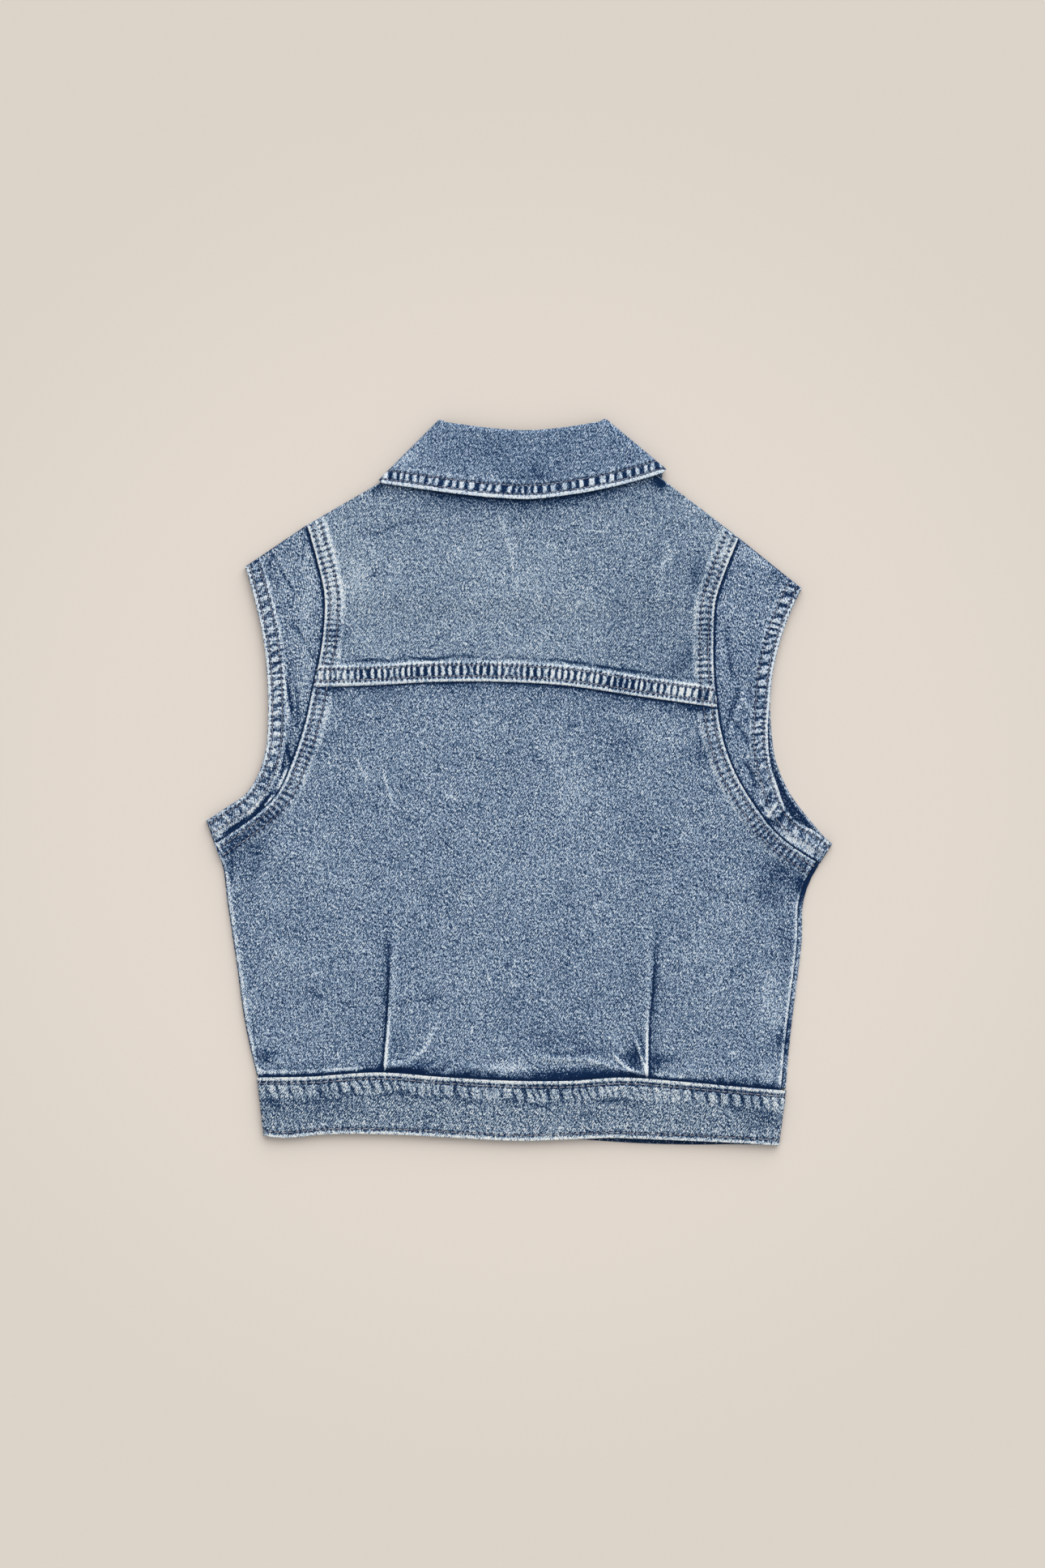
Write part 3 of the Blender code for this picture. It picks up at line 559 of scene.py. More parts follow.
def denim(name):
    turned, shift, tone, contrast, age = DENIMS[name]
    material, tree, shader = new_material("denim_" + name)
    cloth = tree.nodes.new("ShaderNodeGroup")
    cloth.node_tree = washed_denim
    place = tree.nodes.new("ShaderNodeTexCoord")
    tree.links.new(place.outputs["Object"], cloth.inputs["Place"])
    wear_and_shade = tree.nodes.new("ShaderNodeAttribute")
    wear_and_shade.attribute_name = "wear_and_shade"
    tree.links.new(wear_and_shade.outputs["Fac"], cloth.inputs["Fade"])
    for socket, value in (("Turn", np.radians(turned)), ("Shift", shift), ("Tone", tone),
                          ("Contrast", contrast), ("Age", age)):
        cloth.inputs[socket].default_value = value
    bumped(tree, shader, cloth.outputs["Height"], TWILL_BUMP, TWILL_DEPTH)
    tree.links.new(cloth.outputs["Color"], shader.inputs["Base Color"])
    tree.links.new(cloth.outputs["Roughness"], shader.inputs["Roughness"])
    shader.inputs["Specular IOR Level"].default_value = DENIM_SHINE
    shader.inputs["Sheen Weight"].default_value = DENIM_SHEEN
    return material


denims = {name: denim(name) for name in DENIMS}
print("denims:", ", ".join(denims))

# %% [markdown]
# ## A shell of cloth
# Each piece is a fine grid placed on the inner face of its solid, pushed out by the cloth's thickness
# and by the rise of its seams and creases. Solidify then gives the grid its back and its cut edge.

# %% The shell builder
SHELL = 0.8
shells = {}


def linked(name, data):
    """A new object in the scene."""
    made = bpy.data.objects.new(name, data)
    bpy.context.scene.collection.objects.link(made)
    return made


def applied(piece):
    """A mesh of what a piece's modifiers make of it."""
    return bpy.data.meshes.new_from_object(piece.evaluated_get(bpy.context.evaluated_depsgraph_get()))


def shell(name, across, up, place, cloth, looks, material, keep=None, flip=False, lined=True):
    """A sheet of cloth; one that lies on another all over keeps only its outer face and cut edge."""
    u, v = np.meshgrid(across, up, indexing="ij")
    inner = place(u, v)
    facing = np.cross(np.gradient(inner, axis=0), np.gradient(inner, axis=1))
    size = np.linalg.norm(facing, axis=-1, keepdims=True)
    facing = np.where(size > 1e-9, facing / np.maximum(size, 1e-9), (0, 0, 1)) * (-1 if flip else 1)
    outer = inner + facing * cloth(u, v, inner)[..., None]
    rise, wear_and_shade = looks(u, v, outer)
    outer = outer + facing * rise[..., None]
    number = np.arange(u.size).reshape(u.shape)
    faces = np.stack([number[:-1, :-1], number[1:, :-1], number[1:, 1:], number[:-1, 1:]], axis=-1)
    if keep:
        mid_u, mid_v = (u[:-1, :-1] + u[1:, 1:]) / 2, (v[:-1, :-1] + v[1:, 1:]) / 2
        faces = faces[keep(mid_u, mid_v)]
    faces = faces.reshape(-1, 4)[:, ::-1 if flip else 1]
    used, faces = np.unique(faces, return_inverse=True)
    points = (outer.reshape(-1, 3)[used] - MIDDLE) * MM
    mesh = bpy.data.meshes.new(name + "_cloth")
    mesh.from_pydata(points.tolist(), [], faces.reshape(-1, 4).tolist())
    wear_and_shade_layer = mesh.attributes.new("wear_and_shade", "FLOAT", "POINT")
    wear_and_shade_layer.data.foreach_set("value", wear_and_shade.reshape(-1)[used].astype(np.float32))
    mesh.materials.append(denims[material])
    mesh.shade_smooth()
    piece = linked(name + "_cloth", mesh)
    thickness = piece.modifiers.new("cloth", "SOLIDIFY")
    thickness.thickness = SHELL * MM
    thickness.offset = -1
    thickness.use_rim_only = not lined
    thick_mesh = applied(piece)
    piece.modifiers.clear()
    piece.data = thick_mesh
    thick_mesh.name = name + "_cloth"
    shells[name] = piece
    area = sum(face.area for face in thick_mesh.polygons) / (2 if lined else 1)
    print(f"{name}: {2 * len(thick_mesh.polygons)} triangles, {area:.4f} square metres of cloth")


# %% [markdown]
# ## Back panel
# The lower back is one piece with a knife pleat on each side of the middle. A pleat's fold stands up as
# a thin pale edge with a painted shadow line outside it, and fades out towards the yoke. Creases fan out
# from its foot. Over the waist seam the cloth is rubbed pale in some places and darkened with painted
# shade of small folds in others.

# %% The back panel's shape
PLEAT_LINE = {
    "left": ((-80.4, -171), (-78, -143), (-76.5, -118), (-76, -88), (-74, -20), (-72, 59)),
    "right": ((76.6, -175), (77, -143), (79, -118), (80, -90), (80, -20), (76, 50)),
}
# Where the pleats lie across the grid of the panel.
PLEAT_SHARE = {"left": 0.25, "right": 0.75}
PLEAT_RISE = 1.5
PLEAT_DEPTH = 14.0
PLEAT_STEP = 0.6
PLEAT_FADES = (-130.0, -84.0)
BACK_UNDERARM = 0.5
BACK_TURN_SHARE = 0.24
SIDE_SEAM_INSET = 1.2
SEAM_GAP = 0.3
BACK_WIDTH = 330.0
BACK_LENGTH = 230.0
ZONE_WIDTH = 88.0
FELL_RISE = 0.9
FELL_SLOPE = 1.5
ARMHOLE_FELL = 11.0
pleats = {side: Line(PLEAT_LINE[side]) for side in SIDES}


def back_edge(side):
    return joined((BACK_UNDERARM, side_line[side].at), (1.0, armhole[side].part(0.0, yoke_share[side])))


flat_waist = waist.part(*(waist.share_near(side_line[side].at(0.0)) for side in SIDES))
back_plan = patch(flat_waist, yoke_seam.at, back_edge("left"), back_edge("right"))


def pleat_share(side, v):
    """Share across the back panel at which a pleat line lies."""
    height = back_plan(np.full_like(v, PLEAT_SHARE[side]), v)[..., 1]
    line = pleats[side].points
    across = np.interp(height, line[:, 1], line[:, 0])
    left, right = back_plan(np.zeros_like(v), v)[..., 0], back_plan(np.ones_like(v), v)[..., 0]
    return (across - left) / (right - left)


def back_place(u, v):
    low, high = pleat_share("left", v), pleat_share("right", v)
    share = np.clip(u, 0, 1)
    first, last = PLEAT_SHARE.values()
    across = np.where(share < first, share / first * low,
                      np.where(share < last, low + (share - first) / (last - first) * (high - low),
                               high + (share - last) / (1 - last) * (1 - high)))
    inset = np.where(v <= BACK_UNDERARM, SIDE_SEAM_INSET + SEAM_GAP, 0) / BACK_WIDTH
    past = v - np.clip(v, 0, 1)
    plan = back_plan(across * (1 - inset), v - past)
    plan = plan + (past * BACK_LENGTH)[..., None] * np.array([0.0, 1.0])
    level = back_level(plan)
    folded = turn(plan, np.array([-1.0, 0.0]), level, front_level(plan), np.clip(-u, 0, 1))
    return np.where((u < 0)[..., None], folded, raised(plan, level))


def inside_pleat(side, plan):
    """Distance of a spot from a pleat's fold, towards the middle of the back."""
    line = pleats[side].points
    return -HAND[side] * (plan[..., 0] - np.interp(plan[..., 1], line[:, 1], line[:, 0]))


def back_cloth(u, v, points):
    plan = points[..., :2]
    seams = np.minimum(*(armhole[side].near(plan, reach=20)[1] for side in SIDES))
    thick = CLOTH + FELL_RISE * (1 - smooth(seams, ARMHOLE_FELL - FELL_SLOPE, ARMHOLE_FELL))
    for side in SIDES:
        inward = inside_pleat(side, plan)
        edge = smooth(inward, -PLEAT_STEP, -PLEAT_STEP / 4) * (1 - smooth(inward, 0, PLEAT_DEPTH))
        thick = thick + PLEAT_RISE * edge * (1 - smooth(plan[..., 1], *PLEAT_FADES)) * smooth(v, 0.0, 0.008)
    return thick


# %% The back panel's seams and creases
ARMHOLE_ROWS = (3.1, 8.0)
ARMHOLE_BAND = 16.0
ARMHOLE_DIPS = 3.1
ARMHOLE_RIM = 1.6
ARMHOLE_SEED = 21
# Strength of the bars higher up, what they gain at the underarm, strength of the dips.
BACK_BARS = {"left": (0.65, 0.45, 1.3), "right": (0.55, 0.3, 1.2)}
armhole_bars = {side: bars(3.1, seed, 260, lean=-0.1 * HAND[side], swing=0.5, uneven=0.3, sway=0.1)
                for side, seed in (("left", 11), ("right", 12))}
waist_bars = bars(8.0, 13, 330)
# Spots of the plan, half width, rise, paleness, which below 0 is painted shade.
BACK_CREASES = (
    (((76, -173.8), (73.2, -164.5), (70.3, -154.4), (66.8, -147.5)), 1.15, 0.8, 2),
    (((74.6, -172.2), (65.5, -169.2), (59.5, -164.6), (54, -158)), 1.15, 0.8, 2),
    (((73, -172.8), (57, -168.2), (40, -164), (18, -163), (-2, -158.8)), 1.8, 0.9, 0.75),
    (((34.8, -158.8), (26, -155), (17.8, -150.3)), 1.1, 0.4, 0.45),
    (((62, -160), (56, -153), (50, -148)), 1.1, 0.4, 0.7),
    (((-78.5, -166.7), (-67.2, -165), (-57.3, -158.8), (-50.2, -146), (-44.5, -137.5)), 2, 0.6, 0.7),
    (((50, -166), (34, -158.8), (14, -157)), 2.6, 0.5, 0.35),
    (((-78, -169), (-68, -167.2), (-58, -168.6), (-44, -166)), 1.6, 0.8, 0.7),
    (((-76, -168), (-71.5, -158), (-68.5, -146)), 1.7, 0.5, 0.45),
    (((-44, -170.5), (-26, -168.5), (-6, -171.2)), 2.4, 0.5, 0.15),
    (((-156, -158), (-147, -163), (-136, -166.5)), 2.4, 0.6, 0.4),
    (((96, -170), (118, -172.4), (140, -175)), 2.5, 0.5, 0.25),
    (((-80.4, 6.5), (-77.6, -3), (-73.7, -15.2)), 0.9, 0.25, 1.2),
    (((-97.5, 15.4), (-93, 8), (-88.6, 0.2)), 0.9, 0.25, 1),
    (((-72, -131.5), (-56, -128.5), (-41, -125.5)), 0.9, -0.3, -1),
    (((-127, -122.6), (-120.5, -124.4), (-114.4, -127)), 0.9, -0.3, -0.9),
    (((-106, -129.8), (-100, -131.7), (-94.4, -134.4)), 0.9, -0.3, -0.8),
    (((-64, -66), (-58, -77), (-54, -90)), 0.9, 0.25, 0.5),
    (((20, -96), (30, -104), (38, -115)), 0.9, 0.25, 0.5),
    (((-120, -48), (-112, -56), (-106, -67)), 0.9, 0.25, 0.45),
    (((96, -20), (104, -30), (109, -42)), 0.9, 0.25, 0.4),
    (((-97, 53), (-93.5, 44), (-88.6, 35)), 0.9, 0.2, 0.4),
    (((43, -67), (45, -72), (48.5, -80)), 0.9, 0.3, 0.7),
    (((42, -79), (44, -84), (45.5, -89)), 0.8, 0.2, 0.4),
    (((7, 14), (13, 11.5), (19, 8)), 0.8, -0.2, -0.5),
    (((-1, -12), (3, -15), (9, -18.5)), 0.9, -0.2, -0.6),
    (((-81, -43), (-72, -45.5), (-60, -46.5)), 0.9, -0.25, -0.6),
    (((-73, -17.5), (-68, -21), (-61, -22)), 0.8, -0.2, -0.45),
    (((107, -1), (111, -3.5), (117, -6.5)), 1, -0.3, -0.9),
    (((-56, -66), (-50, -66.6), (-44, -67.6)), 0.8, -0.2, -0.4),
    (((-117, -62.5), (-108, -64), (-97, -66.5)), 0.9, -0.2, -0.45),
    (((-38, -80), (-34, -83.5), (-30, -88)), 0.9, -0.2, -0.4),
    (((-2, -91), (-3.2, -97), (-3, -105)), 0.9, 0.2, 0.4),
    (((86, -91), (90, -92.2), (95, -91.6)), 0.8, 0.2, 0.45),
    (((-146, -36), (-128, -42), (-106, -44)), 6, 0.6, 0.15),
    (((148, -52), (130, -60), (112, -62)), 6, 0.6, 0.15),
    (((-60, -50), (-20, -58), (22, -54)), 8, 0.5, 0.08),
    (((-150, -96), (-128, -108), (-110, -128)), 7, 0.5, 0.1),
    (((128, -96), (118, -118), (112, -140)), 7, 0.5, 0.1),
)
# Across, up, reach across, reach up, and how much a patch pales the cloth (above 0) or darkens it (below 0);
# the strong dark ones along the waist seam are painted shade.
BACK_PATCHES = (
    (-150, -161.5, 7, 4, -1), (-64, -170, 14, 2.8, -1.5), (-30, -172.4, 9, 2.6, -1),
    (34, -172.9, 34, 2.6, -1.3), (24, -152.5, 14, 5, -0.3), (-53, -164.5, 9, 3, -0.2),
    (158, -152, 4, 12, -0.4), (-150, -21, 10, 5, -0.4), (-178, -36, 5, 3, 0.6), (63, 39, 10, 3, 0.25),
    (66, -163, 5, 4, -0.5), (38, -158, 12, 3, -0.35), (82, -165, 2.5, 8, -0.5), (71, -159, 4.5, 9, -0.8),
    (-72, -156, 5, 7, -0.4), (-5, -169, 10, 3.5, 0.9), (-88, -168.5, 9, 2, -0.9), (148, -173, 5, 5, 0.4),
    (86, 28, 14, 10, 0.22), (33, -5, 8, 28, 0.12), (-104, -62, 18, 12, 0.1), (-150, -73, 9, 14, 0.15),
    (105, -103, 12, 10, 0.2), (148, -128, 6, 14, 0.3), (-34, -55, 12, 10, -0.14), (-91, -79, 10, 12, -0.1),
    (-8, -132, 20, 10, -0.12), (-172, -47, 5, 9, -0.7), (120, -176.5, 26, 2, -0.5),
    (-118, -172, 26, 1.6, -0.4), (155, -152, 4, 6, -0.5), (-164, -38, 12, 6, -0.5), (155, -52, 13, 7, -0.6),
    (170, -62, 5, 6.5, -3), (175, -54, 3, 4, -0.4), (107, 44, 6, 2.2, -1.3), (-112, 55.5, 5, 2, -1.2),
    (90, -170.5, 11, 3.5, 0.5), (85, -164, 9, 3, -0.5), (48, -35, 5, 30, 0.15), (72, -25, 14, 14, -0.12),
    (29, -98, 9, 10, -0.15), (153, -141, 4, 7, 0.3), (160, -97, 6, 14, -0.3), (-159, -131, 5, 6, 0.3),
    (-157, -146, 5, 5, -0.3), (-157, -31, 11, 3.5, -0.3), (-116, 42, 12, 6, 0.25), (15, 30, 16, 20, 0.12),
    (-86, 5, 10, 14, 0.12), (-82, -88, 8, 14, -0.15), (-30, -16, 9, 6, -0.15), (40, -130, 10, 10, -0.15),
    (-157, -50, 6, 8, -0.35), (150, -65, 10, 8, -0.4), (110, 18, 6, 10, -0.5), (-122, 18, 6, 8, -0.4),
    (-101, -168, 10, 4, 0.35), (-150, -169.5, 8, 4, 0.35), (128, -173, 9, 4, 0.3), (67, -163, 8, 6, -0.35),
    (-67, 15, 9, 12, 0.15), (30, -160, 22, 3, -0.35), (63, 22, 12, 14, -0.25), (0, -20, 60, 50, 0.06),
)

# Place across, rubbed pale edge over the waist seam, painted shade of a fold over it.
WAIST_FOLDS = (
    (-160, 1.0, 0.0), (-90, 1.0, 0.1), (-81, 0.1, 0.9), (-63, 0.0, 0.9), (-52, 0.3, 0.0), (-42, 0.2, 0.4),
    (-12, 0.1, 0.5), (0, 0.2, 0.1), (20, 0.0, 0.3), (45, 0.0, 0.9), (74, 0.0, 0.9), (81, 1.0, 0.0),
    (98, 0.7, 0.0), (118, 0.2, 0.2), (158, 0.0, 0.8),
)


def armhole_band(side, along, across, **wear):
    """Rise, wear and painted shade of the felled band along an armhole."""
    return felled(along, across, ARMHOLE_ROWS, ARMHOLE_BAND, armhole_bars[side], ARMHOLE_SEED, ARMHOLE_DIPS,
                  rim=ARMHOLE_RIM, **wear)


# Heights between which a pleat's rubbed foot and its fold end, and its faint upper part starts and ends.
PLEAT_FOOT, PLEAT_FOLD = (-162, -130), (-122, -96)
PLEAT_TOP_STARTS, PLEAT_TOP_ENDS = (-150, -112), (-98, -74)


def pleat_wear_and_shade(side, plan):
    """Pale fold of a pleat, the painted shadow line outside it, and the weaker pair higher up."""
    inward, up = inside_pleat(side, plan), plan[..., 1]
    foot, folded = 1 - smooth(up, *PLEAT_FOOT), 1 - smooth(up, *PLEAT_FOLD)
    high = (1 - smooth(up, *PLEAT_TOP_ENDS)) * smooth(up, *PLEAT_TOP_STARTS)
    # Outside the fold the cloth is darkened with painted shade, a thin line and a softer spread.
    outside = np.where(inward < 0, np.exp(inward / 4.0), 0)
    wear_and_shade = foot * 2.6 * line_of(inward, 0.8, 0.8) + folded * 0.2 * line_of(inward, 1.2, 1.6)
    wear_and_shade = wear_and_shade - folded * (1.4 * line_of(inward, -0.9, 0.65) + 0.35 * outside)
    return wear_and_shade + high * (0.2 * line_of(inward, 2.0, 2.0) - 0.5 * line_of(inward, -1.6, 2.2))


def back_looks(u, v, points):
    plan = points[..., :2]
    rise, wear_and_shade = creased(plan, BACK_CREASES)
    for side in SIDES:
        along, across = armhole[side].near(plan, reach=ARMHOLE_BAND)
        low = 1 - smooth(along / armhole[side].length, 0.16, 0.3)
        bar, gain, dips = BACK_BARS[side]
        band_rise, band_wear_and_shade = armhole_band(side, along, across, base=0.4 - 0.5 * low, bar=bar + gain * low,
                                            edge_fade=1.5 - 0.7 * low, tick=dips, tail_fade=0.75 - 0.3 * low)
        rise, wear_and_shade = rise + band_rise, wear_and_shade * (across > ARMHOLE_FELL) + band_wear_and_shade + pleat_wear_and_shade(side, plan)
    # Under the yoke's edge the panel is darkened with painted shade; in the seam line itself unfaded indigo
    # adds to it.
    along, across = yoke_seam.near(plan, reach=30)
    wear_and_shade = wear_and_shade - 1.9 * line_of(across, 0, 1.1) - 1.1 * np.exp(-across / 2.2) * (0.1 + drift(along, 6, 22))
    wear_and_shade = wear_and_shade - 0.15 * np.exp(-across / 12.0)
    along, across = waist.near(plan, reach=14)
    wave = waist_bars(along, across)
    low = 1 - smooth(across, 1.0, 7.0)
    rise = rise + 0.25 * wave * low - 0.5 * line_of(across, 0, 1.2)
    # The waist seam line is darkened with painted shade and unfaded indigo.
    wear_and_shade = wear_and_shade - 2.4 * line_of(across, 0, 1.1) + low * (0.4 * wave - 0.15)
    # Over the seam the cloth is rubbed pale in some places and darkened with painted shade of small folds in
    # others.
    place, pale, dark = zip(*WAIST_FOLDS)
    rubbed = np.interp(plan[..., 0], place, pale) * (0.5 + drift(along, 5, 23))
    painted_fold_shade = np.interp(plan[..., 0], place, dark)
    wear_and_shade = wear_and_shade + rubbed * line_of(across, 2.6, 0.9) - painted_fold_shade * line_of(across, 1.7, 1.8)
    wear_and_shade = wear_and_shade - 0.4 * drift(along, 19, 24) * line_of(across, 6.0, 2.2)
    sides = {side: side_line[side].near(plan, reach=8)[1] for side in SIDES}
    below = v < BACK_UNDERARM
    wear_and_shade = wear_and_shade + below * (0.9 * line_of(sides["left"], 0.2, 0.9) + 1.5 * line_of(sides["right"], 2.2, 0.8))
    return rise, wear_and_shade + patched(plan, BACK_PATCHES)


# %% The back panel's grid
BESIDE_PLEAT = 6 * PLEAT_SHARE["left"] * PLEAT_STEP / ZONE_WIDTH
# The panel slips these shares of its length under the waistband and the yoke.
UNDER_BAND, UNDER_YOKE = 2.4 / BACK_LENGTH, 1.3 / BACK_LENGTH
left_pleat, right_pleat = [(PLEAT_SHARE[side] - BESIDE_PLEAT, PLEAT_SHARE[side] + BESIDE_PLEAT)
                           for side in SIDES]
back_columns = steps(
    (-BACK_TURN_SHARE, 0, 4), (0.0006, 0.05, 24), (0.05, 0.20, 44), (0.20, left_pleat[0], 26),
    (*left_pleat, 18), (left_pleat[1], 0.31, 30), (0.31, 0.66, 88), (0.66, right_pleat[0], 40),
    (*right_pleat, 18), (right_pleat[1], 0.95, 66), (0.95, 0.9994, 24),
)
back_rows = steps((-UNDER_BAND, 0.09, 27), (0.09, BACK_UNDERARM, 75), (BACK_UNDERARM, 0.97, 116),
                  (0.97, 1 + UNDER_YOKE, 12))
shell("back_panel", back_columns, back_rows, back_place, back_cloth, back_looks, "body",
      keep=lambda u, v: (u > 0) | (v < BACK_UNDERARM), lined=False)

# %% [markdown]
# ## Yoke
# The yoke's lower edge is turned under and sewn down with two rows. It carries the strongest bars of the
# whole gilet, and a painted shadow line lies over the band where the doubled cloth ends.

# %% The yoke's shape
NECK_SEAM = ((-62, 186.5), (-30, 184.5), (2, 184), (36, 185.5), (68, 189.5))
FALL_EDGE = (
    (-80.6, 177.2), (-67.4, 175.4), (-38.6, 171.4), (-9.8, 168.6), (5, 168), (28.6, 170.4),
    (57.4, 175.7), (76, 180.6), (85.1, 183.4),
)
fall_edge = Line(FALL_EDGE)
NECK_SHARES = (0.27, 0.73)
SHOULDER_WRAP = 10.0
YOKE_WIDTH = 240.0
YOKE_FELL = 12.5
YOKE_ROWS = (3.1, 9.6)
YOKE_STITCH = 2.7
yoke_bars = bars(3.7, 31, 260, lean=0.0, balance=0.25, uneven=0.22, sway=0.06)
# Place across and depth of the gaps between the yoke's bars.
YOKE_GAPS = (
    (-122, 0.3), (-104, 0.1), (-94, 0.9), (-80, 0.8), (-70, 0.5), (-58, 0.8), (-44, 0.4), (-34, 0.8),
    (-18, 0.8), (-10, 0.3), (7, 0.6), (22, 0.4), (44, 0.3), (53, 1.0), (78, 1.0), (90, 0.7), (104, 0.4),
    (110, 0.9), (117, 0.5),
)


def inset_shoulder(side):
    """The shoulder line one folded edge inside the outline, from the armhole to the neck."""
    start, end = shoulder[side]
    return start, end + SIDE_REACH * HAND[side] * outward_of(start, end)


def yoke_top():
    left_start, left_end = inset_shoulder("left")
    right_start, right_end = inset_shoulder("right")
    neck = Line((left_end, *NECK_SEAM[1:-1], right_end))
    return joined((NECK_SHARES[0], between(left_start, left_end)), (NECK_SHARES[1], neck.at),
                  (1.0, between(right_end, right_start)))


yoke_plan = patch(yoke_seam.at, yoke_top(), armhole["left"].part(yoke_share["left"], 1.0),
                  armhole["right"].part(yoke_share["right"], 1.0))


def shoulder_out(u):
    """Direction of the plan out of the nearer shoulder."""
    left, right = (outward_of(*shoulder["left"]), -outward_of(*shoulder["right"]))
    return np.where((u < 0.5)[..., None], left, right)


def yoke_place(u, v):
    plan = yoke_plan(u, np.clip(v, 0, 1))
    level = back_level(plan)
    out = shoulder_out(u)
    folded = turn(plan, out, level, front_level(plan), np.clip(v - 1, 0, 1))
    wrapped = plan - out * (np.clip(v - 2, 0, 1) * SHOULDER_WRAP)[..., None]
    wrapped = raised(wrapped, front_level(wrapped))
    found = np.where((v <= 2)[..., None], folded, wrapped)
    return np.where((v <= 1)[..., None], raised(plan, level), found)


def yoke_cloth(u, v, points):
    plan = points[..., :2]
    seams = np.minimum(*(armhole[side].near(plan, reach=20)[1] for side in SIDES))
    beside = 1 - smooth(seams, ARMHOLE_FELL - FELL_SLOPE, ARMHOLE_FELL)
    over = 1 - smooth(yoke_seam.near(plan, reach=20)[1], YOKE_FELL - FELL_SLOPE, YOKE_FELL)
    return CLOTH + FELL_RISE * np.maximum(beside, over) * (v <= 1)


# %% The yoke's seams and creases
# Spots of the plan, half width, rise, paleness, which below 0 is painted shade.
YOKE_CREASES = (
    (((-9.8, 156.7), (-6, 140), (-1, 118)), 1.6, 0.35, 0.4),
    (((-94, 146), (-82, 128), (-76, 108)), 5, 0.5, 0.15),
    (((92, 142), (84, 124), (80, 100)), 5, 0.5, 0.15),
    (((-40, 84), (-10, 78), (24, 80)), 6, 0.35, 0.1),
    (((34, 112), (47, 104), (60, 99)), 4, 0.4, 0.15),
    (((-93, 146), (-80, 149), (-72, 153), (-46, 154)), 1.4, -0.3, -0.55),
    (((-13, 161), (-10, 153), (-5.5, 144.5)), 0.9, 0.25, 0.6),
    (((-8, 142), (-5, 138.5), (-2, 135)), 0.8, 0.2, 0.5),
    (((-41, 141), (-39, 137.5), (-37, 133.5)), 0.8, 0.2, 0.5),
    (((-2, 121), (-1.6, 114), (-0.6, 107)), 0.9, 0.2, 0.5),
    (((-8, 92.5), (-5.5, 89), (-2.5, 85.5)), 0.8, 0.2, 0.5),
    (((-92, 79), (-90, 84), (-85, 90)), 0.9, 0.2, 0.5),
)
# Across, up, reach across, reach up, and how much a patch pales the cloth (above 0) or darkens it (below 0).
YOKE_PATCHES = (
    (0, 115, 45, 30, 0.08), (-92, 120, 20, 30, 0.1), (-96, 121, 6, 12, 0.3), (-108, 88, 7, 7, -0.7),
    (90, 105, 20, 30, -0.12), (110, 127, 7, 10, -0.25), (112, 89, 4, 12, -0.7), (91, 108, 8, 12, 0.2),
    (94, 69, 8, 5, -0.4), (80, 112, 26, 40, -0.14), (101, 74, 5, 5, -0.4), (115, 62, 3, 5, -0.5),
    (105, 121, 6, 8, -0.4), (52, 142, 9, 8, -0.2), (58, 100, 8, 14, -0.15), (-80, 125, 7, 10, -0.2),
    (-103, 63, 6, 5, 0.6), (-119, 64, 3.5, 5, 0.6), (-110, 64, 3, 5, -0.5), (-10, 71, 8, 4, 0.4),
    (-24, 80, 8, 8, -0.2), (108, 52.5, 2.2, 5, -1.4), (-60, 65, 11, 5, -0.5), (10, 65.5, 8, 5, -0.4),
    (62, 58.5, 9, 6, -0.7), (81, 60, 8, 7, -0.25), (97, 54.5, 9, 4, 0.5), (115, 51, 3, 4, 0.7),
    (132, 140, 5, 6, 0.3), (123, 136, 5, 8, 0.6), (84, 179, 4, 4, -2.4), (-84, 175, 3, 3, -1),
)


# Distances from the middle between which the shadow under the collar weakens.
COLLAR_SHADOW_ENDS = (42, 72)
# Bleaching of the armhole band towards the shoulder, strength of its bars.
SHOULDER_WEAR = {"left": (0.8, 0.6), "right": (-0.2, 0.75)}


